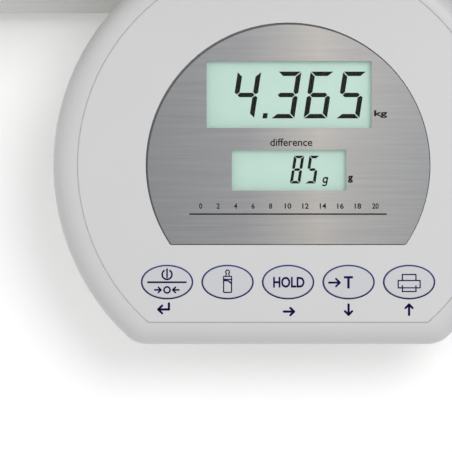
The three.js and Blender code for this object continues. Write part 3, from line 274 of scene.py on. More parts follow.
foot_rubber = rubber("foot rubber", tint(38, 38, 40))
zinc = metal("zinc plate", tint(186, 189, 192), 0.3)
pad_profile = [
    (0, 0.5), (8, 0.5), (8.4, 0), (12.4, 0), (13.4, 0.4), (14, 1.4), (13.75, 2.3), (13.3, 2.5), (13.45, 3.2),
    (13, 3.5), (13.1, 4.2), (12.7, 5.3), (11.9, 6), (5.5, 6), (5, 5.6), (5, 3.55), (0, 3.55),
]
wheel_base = 6.6
wheel_height = 4.0
wheel_radius = 11.0
wheel_edge = 0.6
wheel_dip = 0.9
wheel_lobes = 12
stem_radius = 4.0
stem_top = 27.0
stem_tip = [(0, 3.65), (3.4, 3.65), (4.4, 4.2), (4.6, 5), (4.1, 6.2), (stem_radius, wheel_base)]


def thread(radius, low, high, pitch=1.25, depth=0.45):
    """The profile of a thread, drawn as grooves round the stem, with a chamfered end"""
    profile = []
    root = low
    while root + pitch < high - pitch:
        profile += [(radius, root + pitch / 4), (radius - depth, root + pitch / 2)]
        profile += [(radius, root + pitch * 3 / 4)]
        root += pitch
    return profile + [(radius, high - depth), (radius - depth, high), (0, high)]


def finger_wheel():
    """A disc whose edge dips between soft lobes"""
    mesh = bmesh.new()
    size = {"radius1": wheel_radius, "radius2": wheel_radius, "depth": wheel_height}
    bmesh.ops.create_cone(mesh, cap_ends=True, segments=8 * wheel_lobes, **size)
    for vert in mesh.verts:
        lobe = math.cos(wheel_lobes * math.atan2(vert.co.y, vert.co.x))
        vert.co.xy *= 1 - wheel_dip / wheel_radius * (1 - lobe) / 2
    rim = [edge for edge in mesh.edges if edge.calc_face_angle(0) > math.radians(60)]
    return moved(softened(mesh, rim, wheel_edge, 2), z=wheel_base + wheel_height / 2)


for corner in corners:
    centre = middle_of(f"foot_pad_{corner}")
    under_corner = Matrix.Translation((centre.x, centre.y, 0))
    pad = (f"pad_{corner}", "rubber", f"foot_pad_{corner}")
    finished(f"foot_{corner}", turned(pad_profile, 64), foot_rubber, *pad, place=under_corner)
    stem = turned(stem_tip + thread(stem_radius, wheel_base + wheel_height, stem_top), 32)
    screw = (f"spindle_{corner}", "steel", f"foot_spindle_{corner}")
    finished(f"screw_foot_{corner}", together([stem, finger_wheel()]), zinc, *screw, place=under_corner)

# Base bottom shell: an injection-moulded pan of white ABS with rounded corners. Its underside has wells
# for the screws and bolts, a collar round each foot, and the opening and rails of the battery bay.
base_low, base_high = corners_of("base_bottom_shell")
base_middle = (base_low + base_high) / 2
base_half = (base_high - base_low) / 2
base_corner = 38.0
base_wall = 3.0
base_floor = 3.5
base_edge = 3.0
base_fillet = 2.0
parting_inset = 0.5
parting_rise = 0.7
overrun = 1.0


def moulded(name, colour, roughness, depth=0.012):
    """Moulded plastic: faint flow clouds, and the fine skin of a spark-eroded mould"""
    finish = material(name)
    spot = finish.spot()
    flow = finish.noise(spot, 45.0)
    skin = finish.noise(spot, 0.6)
    finish.feed(Base_Color=finish.blend(flow, toned(colour, 0.97), toned(colour, 1.02)))
    finish.feed(Roughness=roughness - 0.04 + 0.06 * flow + 0.05 * skin)
    finish.relief(skin, depth)
    return finish.owner


def arc_on(mesh, vert, centre, angle, steps):
    """Draws an arc of edges on from a vertex, about an upright axis, and returns its last vertex"""
    spun = bmesh.ops.spin(mesh, geom=[vert], cent=centre, axis=(0, 0, 1), angle=angle, steps=steps)
    return next(item for item in spun["geom_last"] if isinstance(item, bmesh.types.BMVert))


def rounded_ring(mesh, half_x, half_y, corner, height, x=0.0, y=0.0, steps=10, cuts=0):
    """A rounded rectangle about a place, as a closed ring of edges"""
    before = set(mesh.edges)
    inner_x, inner_y = half_x - corner, half_y - corner
    centres = [(inner_x, -inner_y), (inner_x, inner_y), (-inner_x, inner_y), (-inner_x, -inner_y)]
    centres = [Vector((x + across, y + along, height)) for across, along in centres]
    first = last = mesh.verts.new(centres[0] - Vector((0, corner, 0)))
    straights = []
    for turn, centre in enumerate(centres):
        last = arc_on(mesh, last, centre, math.pi / 2, steps)
        out = Vector((math.cos(turn * math.pi / 2), math.sin(turn * math.pi / 2), 0))
        after = first if turn == 3 else mesh.verts.new(centres[turn + 1] + corner * out)
        straights.append(mesh.edges.new((last, after)))
        last = after
    if cuts:
        bmesh.ops.subdivide_edges(mesh, edges=straights, cuts=cuts)
    return [edge for edge in mesh.edges if edge not in before]


def ring_verts(ring):
    return list({vert: None for edge in ring for vert in edge.verts})


def skinned(mesh, rings, capped=True):
    """Skins the rings in turn, each held well above the last meanwhile so that no band is twisted,
    and closes the first and the last one"""
    aside = Vector((0, 0, 50))
    for lower, upper in zip(rings, rings[1:]):
        bmesh.ops.translate(mesh, vec=aside, verts=ring_verts(upper))
        bmesh.ops.bridge_loops(mesh, edges=lower + upper)
        bmesh.ops.translate(mesh, vec=-aside, verts=ring_verts(upper))
    if capped:
        for ring in (rings[0], rings[-1]):
            bmesh.ops.edgeloop_fill(mesh, edges=ring)
    return mesh


def block(low, high, edge=0.0):
    """A block between two corners, its edges rounded by that much"""
    mesh = bmesh.new()
    bmesh.ops.create_cube(mesh, size=1)
    bmesh.ops.scale(mesh, vec=Vector(high) - Vector(low), verts=mesh.verts)
    if edge:
        softened(mesh, mesh.edges, edge, 3)
    return moved(mesh, *(Vector(low) + Vector(high)) / 2)


def rod(radius, low, high, x=0.0, y=0.0, steps=40):
    mesh = bmesh.new()
    size = {"radius1": radius, "radius2": radius, "depth": high - low}
    bmesh.ops.create_cone(mesh, cap_ends=True, segments=steps, **size)
    return moved(mesh, x, y, (low + high) / 2)


def fitted(mesh, tools, operation="DIFFERENCE"):
    """The solid with the tools cut out of it or joined to it, or what it shares with them"""
    work = []
    for part in (mesh, together(tools)):
        bmesh.ops.recalc_face_normals(part, faces=part.faces)
        data = bpy.data.meshes.new("work")
        part.to_mesh(data)
        part.free()
        work.append(bpy.data.objects.new("work", data))
        bpy.context.scene.collection.objects.link(work[-1])
    cut = work[0].modifiers.new("cut", "BOOLEAN")
    cut.operation = operation
    cut.object = work[1]
    cut.solver = "EXACT"
    result = bmesh.new()
    result.from_object(work[0], bpy.context.evaluated_depsgraph_get())
    for item in work:
        bpy.data.meshes.remove(item.data)
    return result


def base_solid(profile):
    """A solid skinned over rings of the base's outline, given as (inset, height) pairs"""
    mesh = bmesh.new()
    rings = [
        rounded_ring(mesh, base_half.x - inset, base_half.y - inset, base_corner - inset, height)
        for inset, height in profile
    ]
    return moved(skinned(mesh, rings), base_middle.x, base_middle.y)


def quarter(radius, steps):
    """The insets and rises of a rounded edge, from the wall to the flat"""
    angles = [step / steps * math.pi / 2 for step in range(steps + 1)]
    return [(radius * (1 - math.cos(angle)), radius * math.sin(angle)) for angle in angles]


def duct_hole():
    """A block that cuts the opening for the duct through the front wall"""
    low = (-duct_half - slide_gap, base_low.y - overrun, duct_floor - slide_gap)
    high = (duct_half + slide_gap, base_low.y + base_wall + overrun, duct_roof + slide_gap)
    return block(low, high)


shell_white = moulded("white shell", tint(228, 228, 225), 0.42)
door_low, door_high = corners_of("battery_door")
box_low, box_high = corners_of("battery_box")
socket_low, socket_high = corners_of("power_socket")
socket_middle = (socket_low + socket_high) / 2
door_rail = 2.5
rail_height = 1.0
slide_gap = 0.4
box_flange = 3.0
bay_rim = 7.0
bay_rim_low = 15.0
duct_half = 52.0
duct_floor = 19.0
duct_roof = 45.0
socket_hole = 5.5
well_sizes = [(4.3, 29), (3.6, 23), (5.6, 17)]
foot_middles = [middle_of(f"foot_pad_{corner}") for corner in corners]
screw_middles = [middle_of(f"base_screw_{number}") for number in range(1, 5)]
bolt_middles = [middle_of(f"cell_bolt_lower_{number}") for number in (1, 2)]
floor, parting, deep = base_low.z, base_high.z, base_low.z - overrun
pan_section = [(inset, floor + base_edge - rise) for inset, rise in reversed(quarter(base_edge, 5))]
pan_section += [(0, parting - parting_rise), (parting_inset, parting), (base_wall, parting)]
pan_section += [(base_wall, floor + base_floor + base_fillet), (base_wall + base_fillet, floor + base_floor)]
box_cut = block(
    (box_low.x + box_flange, box_low.y + box_flange, deep),
    (box_high.x - box_flange, box_high.y - box_flange, box_low.z + overrun),
)
leaf_cut = block(
    (door_low.x + door_rail - slide_gap, door_low.y - slide_gap, deep),
    (door_high.x - door_rail + slide_gap, base_high.y + overrun, door_high.z + slide_gap),
)
rail_cut = block(
    (door_low.x - slide_gap, door_low.y - slide_gap, door_high.z - rail_height - slide_gap),
    (door_high.x + slide_gap, base_high.y + overrun, door_high.z + slide_gap),
)
at_socket = Matrix.Translation((socket_middle.x, base_high.y, socket_middle.z)) @ about("X", -90)
socket_cut = placed(rod(socket_hole, -base_wall - overrun, overrun), at_socket)
rim = block(
    (door_low.x - bay_rim, door_low.y - bay_rim, bay_rim_low),
    (door_high.x + bay_rim, base_high.y - base_wall, box_low.z),
)
wells = [
    rod(radius, deep, roof, at.x, at.y)
    for (radius, roof), middles in zip(well_sizes, (foot_middles, screw_middles, bolt_middles))
    for at in middles
]
pan = fitted(base_solid(pan_section), [rim], "UNION")
for cutters in (wells, [duct_hole()], [box_cut], [leaf_cut], [rail_cut], [socket_cut]):
    pan = fitted(pan, cutters)
finished("base_pan", pan, shell_white, "base", "shell_white", "base_bottom_shell")

collar_section = [(4.6, 12.4), (4.6, 11.8), (5.2, 11.3), (9.4, 11.3), (10.2, 11.8), (10.2, 12.4), (4.6, 12.4)]
foot_collars = together([moved(turned(collar_section, 56), at.x, at.y) for at in foot_middles])
finished("foot_collars", foot_collars, shell_white, "base", "shell_white")

# Battery bay: a black box over the opening in the floor, nickel-plated contacts at both ends, four
# sleeved cells laid in turn, and a sliding door with grip bars and a moulded arrow.
black_plastic = moulded("black plastic", tint(36, 37, 39), 0.5)
nickel = metal("nickel plate", tint(205, 203, 196), 0.22)
cell_radius = 7.25
cell_reach = 25.25
cell_profile = [
    (0, 0.3), (5.4, 0.3), (5.8, 0), (6.6, 0), (7.1, 0.25), (cell_radius, 0.8), (cell_radius, 48.8),
    (7.05, 49.3), (6.6, 49.5), (3.1, 49.5), (2.75, 49.7), (2.75, 50.2), (2.45, 50.5), (0, 50.5),
]
cell_middles = [middle_of(f"battery_cell_{number}") for number in range(1, 5)]
bare_end = 1.2
strip_thickness = 1.0
strip_edge = 0.15
spring_length = 2.1
button_profile = [(0, -0.3), (3, -0.3), (3, 0.3), (2.2, 0.9), (0, 0.9)]
leaf_edge, rail_edge, grip_edge = 0.35, 0.2, 0.25
grip_count = 5
grip_pitch = 3.0
grip_width = 1.4
grip_half = 16.0
grip_proud = 0.6
grip_start = 6.6
arrow_start = 24.0
arrow_profile = [(0, 11.5), (4.4, 11.5), (4.8, 11.9), (4.8, 12.6), (0, 12.6)]


def dressed(look, *nodes):
    """Gives CAD nodes whose shape is right a better material"""
    for node in nodes:
        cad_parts[node].material_slots[0].material = look


def spring(length):
    """A contact spring: wire wound about Z and closed at both ends"""
    wire, radius, turns = 0.32, 2.6, 3
    mesh = bmesh.new()
    bmesh.ops.create_circle(mesh, cap_ends=True, segments=8, radius=wire)
    moved(placed(mesh, about("X", 90)), radius, 0, wire)
    steps = 20 * turns
    rise = (length - 2 * wire) / steps
    bmesh.ops.spin(
        mesh, geom=mesh.faces[:] + mesh.edges[:] + mesh.verts[:], axis=(0, 0, 1),
        angle=turns * math.tau, steps=steps, dvec=(0, 0, rise),
    )
    return mesh


def contact_row(node, facing):
    """A plated strip with a spring for each cell's flat end and a button for each raised one"""
    low, high = corners_of(node)
    back = low.y if facing > 0 else high.y
    front = back + facing * strip_thickness
    parts = [block((low.x, min(back, front), low.z), (high.x, max(back, front), high.z), strip_edge)]
    for number, cell in enumerate(cell_middles):
        sprung = (number % 2 == 0) == (facing > 0)
        contact = spring(spring_length) if sprung else turned(button_profile, 24)
        at = Matrix.Translation((cell.x, front, cell.z)) @ about("X", -90 * facing)
        parts.append(placed(contact, at))
    return together(parts)


def cell_sleeve(name, cell, facing):
    """A printed shrink sleeve with a pale band at the raised end; the ends are bare steel"""
    finish = material(name)
    along = facing * finish.axis(finish.spot(cell), "Y")
    stops = [(0, tint(30, 84, 122)), (0.62, tint(36, 98, 140)), (0.63, tint(225, 228, 230))]
    stops += [(0.655, tint(222, 225, 228)), (0.66, tint(196, 60, 48)), (0.985, tint(188, 54, 44))]
    print_colour = finish.ramp(along / (2 * cell_reach) + 0.5, stops)
    bare = abs(along + 0.3) > cell_reach - bare_end
    finish.feed(Base_Color=finish.blend(bare, print_colour, tint(200, 200, 196)))
    finish.feed(Metallic=bare * 0.9, Roughness=0.28 + 0.1 * finish.noise(finish.spot(), 3.0))
    return finish.owner


dressed(black_plastic, "battery_box")
for side, facing in (("front", 1), ("rear", -1)):
    node = f"contact_strip_{side}"
    finished(f"contacts_{side}", contact_row(node, facing), nickel, "base", "steel", node)
for number, cell in enumerate(cell_middles, 1):
    facing = 1 if number % 2 else -1
    laid = Matrix.Translation(cell - Vector((0, facing * cell_reach, 0))) @ about("X", -90 * facing)
    sleeve = cell_sleeve(f"cell sleeve {number}", cell, facing)
    node = f"battery_cell_{number}"
    finished(f"cell_{number}", turned(cell_profile), sleeve, "base", "cell_jacket", node, place=laid)


def bay_door():
    """A leaf between two rails, with grip bars and an arrow that stand a little below it"""
    rail_room = Vector((door_rail, 0, 0))
    rails_low = (door_low.x, door_low.y, door_high.z - rail_height)
    rails_high = (door_high.x, door_high.y - base_wall, door_high.z)
    parts = [
        block(door_low + rail_room, door_high - rail_room, leaf_edge),
        block(rails_low, rails_high, rail_edge),
        moved(placed(turned(arrow_profile, 3), about("Z", 90)), 0, door_high.y - arrow_start),
    ]
    for bar in range(grip_count):
        line = door_high.y - grip_start - grip_pitch * bar
        low = (-grip_half, line - grip_width, door_low.z - grip_proud)
        parts.append(block(low, (grip_half, line, door_low.z + grip_proud), grip_edge))
    return together(parts)


finished("bay_door", bay_door(), shell_white, "door", "shell_white", "battery_door")

# Power socket: a black moulded jack with a bright centre pin, clipped behind the rear wall. Nothing is
# plugged into it.
jack_bore = 3.2
jack_depth = 9.5
jack_setback = 3.3
jack_edge = 0.5
mouth_section = [(jack_bore, -5), (jack_bore, -0.5), (3.6, -0.1), (4.9, -0.1), (5.2, -0.4), (5.2, -5)]
mouth_section.append(mouth_section[0])
pin_profile = [(0, -9.6), (1, -9.6), (1, -1.9), (0.7, -1.4), (0, -1.2)]
jack = block(socket_low, socket_high - Vector((0, jack_setback, 0)), jack_edge)
jack = fitted(jack, [placed(rod(jack_bore, -jack_depth, 0), at_socket)])
jack = together([jack, placed(turned(mouth_section), at_socket)])
finished("power_jack", jack, black_plastic, "base", "black_plastic", "power_socket")
finished("jack_pin", turned(pin_profile, 24), nickel, "base", "steel", place=at_socket)

# Main circuit board on its four posts, and the grey ribbon that joins it to the display board. The
# boards are glass-epoxy under a green mask, with buried tracks and tinned pads.


def circuit_board(name):
    finish = material(name, Coat_Weight=0.4, Coat_Roughness=0.15)
    spot = finish.spot()
    across, along = finish.axis(spot, "X"), finish.axis(spot, "Y")
    lane = finish.noise(finish.spot(stretch=(9, 1, 9)), 1.4, 0.0)
    track = abs(lane - 0.5) < 0.035
    pitch = 2.54
    column = abs((across / pitch).maths("FRACT") - 0.5) < 0.16
    row = abs((along / pitch).maths("FRACT") - 0.5) < 0.16
    chosen = finish.noise(spot, 9.0, 0.0) > 0.56
    pad = column * row * chosen
    mask = finish.blend(track, tint(18, 84, 48), tint(40, 118, 70))
    finish.feed(Base_Color=finish.blend(pad, mask, tint(205, 205, 200)), Metallic=pad * 0.8)
    finish.feed(Roughness=0.34 - 0.08 * pad + 0.06 * finish.noise(spot, 1.0))
    finish.relief(track + pad, 0.03)
    return finish.owner


def ribbon_cable():
    """Moulded conductors side by side, the first of them marked"""
    core_pitch = 1.27
    marked_side = -6.9
    finish = material("ribbon cable")
    across = finish.axis(finish.spot(), "X")
    rib = (across * (math.tau / core_pitch)).maths("COSINE")
    marked = across < marked_side
    finish.feed(Base_Color=finish.blend(marked, tint(176, 179, 184), tint(188, 52, 46)))
    finish.feed(Roughness=0.5 + 0.05 * rib)
    finish.relief(rib, 0.25)
    return finish.owner


board_green = circuit_board("circuit board")
dressed(board_green, "main_board", "display_board")
dressed(ribbon_cable(), "display_ribbon")
board_thickness = 1.6
can_places = [(-38, 40), (-30, 40), (38, 40)]
can_profile = [(0, 0), (3, 0), (3.1, 0.5), (2.9, 1), (3.1, 1.4), (3.1, 7.2), (2.8, 7.5), (0, 7.5)]
board_low, _ = corners_of("main_board")
board_top = board_low.z + board_thickness
cans = [moved(turned(can_profile, 32), x, board_low.y + up, board_top) for x, up in can_places]
finished("board_cans", together(cans), black_plastic, "base", "black_plastic")

# Weighing mechanism: a pressed steel plate carries the bar-shaped load cell, milled from aluminium and
# bored to flex. Socket-head bolts clamp it at one end, and a moulded frame to its other end.
milled = metal("milled aluminium", tint(196, 198, 201), 0.34, (14, 1, 1))
dressed(milled, "load_cell", "upper_spacer")
dressed(metal("pressed steel", tint(166, 168, 171), 0.38), "chassis_plate")
dressed(moulded("frame plastic", tint(212, 212, 208), 0.55), "upper_frame")


def fastener(head_radius, head_height, shank_radius, length, recesses):
    """A screw or bolt with its head on the origin and its shank pointing up"""
    edge, pitch, depth = 0.5, 1, 0.3
    profile = [(0, 0), (head_radius - edge, 0), (head_radius, edge), (head_radius, head_height)]
    profile += [(shank_radius, head_height), *thread(shank_radius, head_height, length, pitch, depth)]
    mesh = turned(profile, 32)
    for recess in recesses:
        mesh = fitted(mesh, [recess])
    return mesh


bolt_size = (5, 5, 3)
key_recess = (2.6, -overrun, 2.8)
for number in (1, 2):
    for level, upright in (("lower", 0), ("upper", 180)):
        node = f"cell_bolt_{level}_{number}"
        low, high = corners_of(node)
        length = high.z - low.z
        at = Matrix.Translation((low + high) / 2) @ about("X", upright)
        bolt = moved(fastener(*bolt_size, length, [rod(*key_recess, steps=6)]), z=-length / 2)
        finished(f"bolt_{level}_{number}", bolt, zinc, "base", "steel", node, place=at)

# Base cover: the upper half of the base, moulded in the same white ABS. Its edge is softly rolled, a
# collar stands round each tray post, and four self-tapping screws from below hold it.
cover_low, _ = corners_of("base_top_cover")
cover_top = 54.0
cover_roll = 8.0
cover_skin = 3.0
post_hole = 11.0
level_hole = 10.3
post_collar = [
    (post_hole, 51.5), (post_hole, 56.6), (11.4, 57), (12.6, 57), (13.2, 56.6), (13.5, 55.8), (13.8, 54.2),
    (14.6, 53.8), (14.6, 51.5), (post_hole, 51.5),
]
post_middles = [middle_of(f"tray_cap_{corner}") for corner in corners]
level_middle = middle_of("level_vial")
tapper_size = (3, 2.4, 1.5)
slot_reach = 2.0
slot_half = 0.45
slot_depth = 1.5


def self_tapper(length):
    """A small screw with a cross recess, whose second slot is a little shallower than the first"""
    slots = [
        block((-slot_reach, -slot_half, -overrun), (slot_reach, slot_half, slot_depth)),
        block((-slot_half, -slot_reach, -overrun), (slot_half, slot_reach, slot_depth - 0.1)),
    ]
    return fastener(*tapper_size, length, slots)


shoulder = cover_top - cover_roll
inner_roll = reversed(quarter(cover_roll - cover_skin, 6))
cover_section = [(cover_skin + inset, shoulder + rise) for inset, rise in inner_roll]
cover_section += [(cover_skin, cover_low.z), (parting_inset, cover_low.z), (0, cover_low.z + parting_rise)]
cover_section += [(inset, shoulder + rise) for inset, rise in quarter(cover_roll, 8)]
holes = [(post_hole, at) for at in post_middles] + [(level_hole, level_middle)]
holes = [rod(radius, cover_low.z, cover_top + overrun, at.x, at.y, 64) for radius, at in holes]
cover = fitted(fitted(base_solid(cover_section), holes), [duct_hole()])
cover = together([cover] + [moved(turned(post_collar, 64), at.x, at.y) for at in post_middles])
finished("top_cover", cover, shell_white, "base", "shell_white", "base_top_cover")
for number in range(1, 5):
    node = f"base_screw_{number}"
    low, high = corners_of(node)
    at = Matrix.Translation(((low.x + high.x) / 2, (low.y + high.y) / 2, low.z))
    finished(f"cover_screw_{number}", self_tapper(high.z - low.z), zinc, "base", "steel", node, place=at)

# Spirit level: a bull's-eye vial of clear acrylic with tinted spirit and one bubble under its dome, set
# in a white housing that is pressed into the cover. A printed ring marks the middle.
level_radius = 8.0
level_dome = 0.9
level_rim = 54.8
bubble_radius = 2.3
bubble_off = Vector((0.5, 0.3, 0))
ring_radius = 3.6
ring_half = 0.16


def level_spirit():
    """Tinted liquid under a clear dome that darkens towards its rim, with the bubble as a painted highlight,
    pale with a darker edge, and a printed ring, all seen from above
    """
    finish = material("level spirit", Coat_Weight=1.0, Coat_Roughness=0.02)
    spot = finish.spot(level_middle)
    reach = finish.reach(spot)
    bubble = finish.reach(finish.spot(level_middle + bubble_off))
    # The spirit's tone darkens from the middle to the rim.
    spirit_stops = [(0, tint(196, 222, 84)), (0.7, tint(172, 204, 62)), (1, tint(120, 150, 40))]
    # Painted highlight: the bubble is pale in its middle and darker at its edge.
    bubble_highlight_stops = [(0, tint(232, 242, 190)), (0.72, tint(222, 236, 160))]
    bubble_highlight_stops += [(0.9, tint(140, 168, 60)), (1, tint(110, 140, 40))]
    liquid = finish.ramp(reach / level_radius, spirit_stops)
    with_bubble = finish.blend(
        bubble < bubble_radius, liquid, finish.ramp(bubble / bubble_radius, bubble_highlight_stops)
    )
    inked = abs(reach - ring_radius) < ring_half
    finish.feed(Base_Color=finish.blend(inked, with_bubble, tint(24, 26, 24)))
    finish.feed(Roughness=0.08 + 0.05 * finish.noise(spot, 2.0))
    return finish.owner


cup_profile = [
    (0, 46), (9.6, 46), (10, 46.4), (10, 54.3), (12, 54.3), (12, 54.7), (11.6, 55.1), (8.6, 55.1),
    (8.1, 54.7), (8.1, 49.2), (0, 49.2),
]
vial_profile = [(0, 49.3), (level_radius, 49.3)]
for step in range(9):
    rise = step * math.pi / 16
    vial_profile.append((level_radius * math.cos(rise), level_rim + level_dome * math.sin(rise)))
at_level = Matrix.Translation((level_middle.x, level_middle.y, 0))
cup = turned(cup_profile, 64)
finished("level_cup", cup, shell_white, "base", "shell_white", "level_housing", place=at_level)
vial = turned(vial_profile, 64)
finished("level_bull_eye", vial, level_spirit(), "base", "level_liquid", "level_vial", place=at_level)

# Console lower shell: a deep bowl of the same white ABS under the casing, drawn in from the tilted round
# top to a rounded foot, with a flat rear face and a duct that plugs into the front of the base.
face_tilt = math.radians(10)
face_row = -44.9
on_face = Matrix.Rotation(face_tilt, 4, "X")
face_origin = middle_of("key_hold") - on_face @ Vector((0, face_row, 0))
on_face = Matrix.Translation(face_origin) @ on_face
shell_wall = 2.5
bowl_outline = (87.2, 66.7, 9.2)
foot_outline = (66.0, 50.0, 14.0)
bowl_rim = -20.3
bowl_levels = 14
rear_gap = 0.3
rear_face = base_low.y - rear_gap
rear_top = 54.3
rear_reach = 60.0
past_side = 120.0
post_radius = 6.0
post_foot = -70.0
post_top = bowl_rim - 0.1
post_cover = 0.5
post_places = [(-54, 16), (54, 16), (-40, -42), (40, -42)]
duct_start = -104.0
duct_edge = 0.8
flange_start = base_low.y + base_wall + slide_gap
flange_end = flange_start + 2.4
flange_reach = 3.0
flange_edge = 0.4
well_radius = 3.6
well_foot = -60.0
casing_screw_length = 20.4


def console_ring(mesh, outline, inset, height, steps=72):
    """The console's outline at a height, from the radius of its arc, the distance of its straight front
    from the middle, and the radius of its corners"""
    before = set(mesh.edges)
    radius, chord, corner = (length - inset for length in outline)
    lift = corner - chord
    side = math.sqrt((radius - corner) ** 2 - lift ** 2)
    bend = math.atan2(lift, side)
    first = mesh.verts.new((side, -chord, height))
    last = arc_on(mesh, first, (side, lift, height), bend + math.pi / 2, 8)
    last = arc_on(mesh, last, (0, 0, height), math.pi - 2 * bend, steps)
    last = arc_on(mesh, last, (-side, lift, height), bend + math.pi / 2, 8)
    front = mesh.edges.new((last, first))
    bmesh.ops.subdivide_edges(mesh, edges=[front], cuts=7)
    return [edge for edge in mesh.edges if edge not in before]


def mix(first, second, share):
    return first + (second - first) * share


def bowl_solid(inset, lid=0.0):
    """The bowl as a solid: rings drawn in along a quarter sine from the tilted top to the foot"""
    mesh = bmesh.new()
    foot_height = base_low.z + inset
    rings = []
    for level in range(bowl_levels + 1):
        rise = level / bowl_levels
        spread = math.sin(rise * math.pi / 2)
        goals = bmesh.new()
        ring = console_ring(mesh, foot_outline, inset, 0)
        goal_ring = console_ring(goals, bowl_outline, inset, bowl_rim + lid)
        for vert, goal in zip(ring_verts(ring), ring_verts(goal_ring)):
            up = on_face @ goal.co
            across = mix(Vector((vert.co.x, vert.co.y + face_origin.y)), up.xy, spread)
            vert.co = (*across, mix(foot_height, up.z, rise))
        goals.free()
        rings.append(ring)
    return skinned(mesh, rings)


rear_slab = block((-past_side, rear_face - shell_wall, 0), (past_side, rear_face + overrun, rear_top))
rear_wall = fitted(bowl_solid(0.01), [rear_slab], "INTERSECT")
behind = block((-past_side, rear_face, 0), (past_side, base_low.y + rear_reach, rear_top))
posts = together([rod(post_radius, post_foot, post_top, u, v) for u, v in post_places])
posts = fitted(placed(posts, on_face), [bowl_solid(post_cover)], "INTERSECT")
duct = block((-duct_half, duct_start, duct_floor), (duct_half, flange_end, duct_roof), duct_edge)
duct_flange = block(
    (-duct_half - flange_reach, flange_start, duct_floor - flange_reach),
    (duct_half + flange_reach, flange_end, duct_roof + flange_reach),
    flange_edge,
)
duct_inside = block(
    (-duct_half + shell_wall, duct_start - overrun, duct_floor + shell_wall),
    (duct_half - shell_wall, flange_end + overrun, duct_roof - shell_wall),
)
screw_wells = []
for number in range(1, 5):
    node = f"console_screw_{number}"
    at = Matrix.Translation(middle_of(node)) @ about("X", 10)
    at = at @ Matrix.Translation((0, 0, -casing_screw_length / 2))
    screw_wells.append(placed(rod(well_radius, well_foot, tapper_size[1]), at))
    screw = self_tapper(casing_screw_length)
    finished(f"casing_screw_{number}", screw, zinc, "base", "steel", node, place=at)
bowl = fitted(bowl_solid(0), [bowl_solid(shell_wall, overrun)])
for operation, tools in (
    ("UNION", [rear_wall]),
    ("UNION", [posts]),
    ("DIFFERENCE", [behind]),
    ("UNION", [duct, duct_flange]),
    ("DIFFERENCE", [duct_inside]),
    ("DIFFERENCE", screw_wells),
):
    bowl = fitted(bowl, tools, operation)
finished("console_bowl", bowl, shell_white, "base", "shell_white", "console_lower_shell", crease=30)

# Console casing: the pale grey upper shell, moulded in ABS. Its rim rolls over in a wide soft edge, and a
# shallow recess takes the printed film; four screws from below hold it.
casing_outline = (90.7, 69.15, 11.65)
casing_depth = 20.0
casing_draft = 1.8
casing_bevel = 0.3
roll_steps = 12
inner_steps = 7
roll_depth = 11.0
roll_width = 8.5
roll_fullness = 0.86
recess_outline = (80.85, 60.45, 1.8)
recess_depth = 1.55
recess_bevel = 0.2
plate_underside = -4.55
view_room = [(-34.65, -13.2, -6), (34.65, 42.6, 0)]


def console_solid(outline, profile):
    """A solid skinned over rings of an outline, given as (inset, height) pairs"""
    mesh = bmesh.new()
    return skinned(mesh, [console_ring(mesh, outline, inset, height) for inset, height in profile])


turns = [step / roll_steps * math.pi / 2 for step in range(roll_steps + 1)]
insets = [roll_width * (1 - math.cos(turn) ** roll_fullness) for turn in turns]
heights = [roll_depth * (math.sin(turn) ** roll_fullness - 1) for turn in turns]
outer_wall = list(zip(insets, heights))
inner_wall = [(inset + shell_wall, height - shell_wall) for inset, height in outer_wall[:inner_steps]]
casing_section = [(roll_width, plate_underside), *reversed(inner_wall)]
casing_section += [(casing_draft + shell_wall, -casing_depth), (casing_draft + casing_bevel, -casing_depth)]
casing_section += [(casing_draft, casing_bevel - casing_depth), *outer_wall]
recess_section = [(0, -recess_depth), (0, -recess_bevel), (-recess_bevel, 0), (-recess_bevel, overrun)]
casing_grey = moulded("casing grey", tint(207, 207, 207), 0.4)
casing = console_solid(casing_outline, casing_section)
for tool in (console_solid(recess_outline, recess_section), block(*view_room)):
    casing = fitted(casing, [tool])
finished("console_shell", casing, casing_grey, "base", "casing_grey", "console_casing", place=on_face)

# Display: two twisted-nematic panels in a black frame, seen through a clear sheet. Their glass is grey
# green and their digits are dark segments.
lcd_top = -3.15
digit_slant = 0.154
letter_slant = 0.17
small_size = (3.95, 10.7, 1.0, 1.12, 0.16)
large_size = (9, 18, 1.7, 1.9, 0.25)
readings = [("8", 0.75, -7.05, small_size), ("5", 6.65, -7.05, small_size)]
readings += [(figure, u, 18, large_size) for figure, u in zip("4365", (-22, -6.5, 6, 18.5))]
decimal_point = [(-9.8, 18), (-8, 18), (-7.7, 20), (-9.5, 20)]
pane_thickness = 1.2
pane_edge = 0.1
pane_inset = 0.2
pane_ledge = 0.6
panels = [("main_lcd", 33.95, 13.0, 41.0), ("difference_lcd", 24.55, -11.3, 6.7)]
clear_sheet = [(-34.25, -12.8, -2.7), (34.25, 42.2, -1.7)]


def face_spot(finish, *stretch):
    """The place on the tilted face in millimetres, from the middle of the face"""
    return finish.spot(face_origin, face_tilt, stretch or (1, 1, 1))


def display_glass():
    """Grey-green glass with a painted glow, about a quarter of its brightness, that lifts the shade near the
    window edges
    """
    # Painted light: the glass glows, though no lamp is behind it, to lift the shade at the window edges.
    painted_glow = 0.26
    finish = material("display glass", Coat_Weight=0.3, Coat_Roughness=0.1, Emission_Strength=painted_glow)
    spot = face_spot(finish)
    mottle = finish.noise(spot, 7.0, 3.0)
    weave = finish.noise(face_spot(finish, 1, 0.2, 1), 0.7)
    shade = 0.6 * mottle + 0.4 * weave
    darker, paler = tint(186, 217, 204), tint(193, 225, 212)
    finish.feed(Base_Color=finish.blend(shade, toned(darker, 1 - painted_glow), toned(paler, 1 - painted_glow)))
    finish.feed(Emission_Color=finish.blend(shade, darker, paler), Roughness=0.3 + 0.08 * mottle)
    return finish.owner


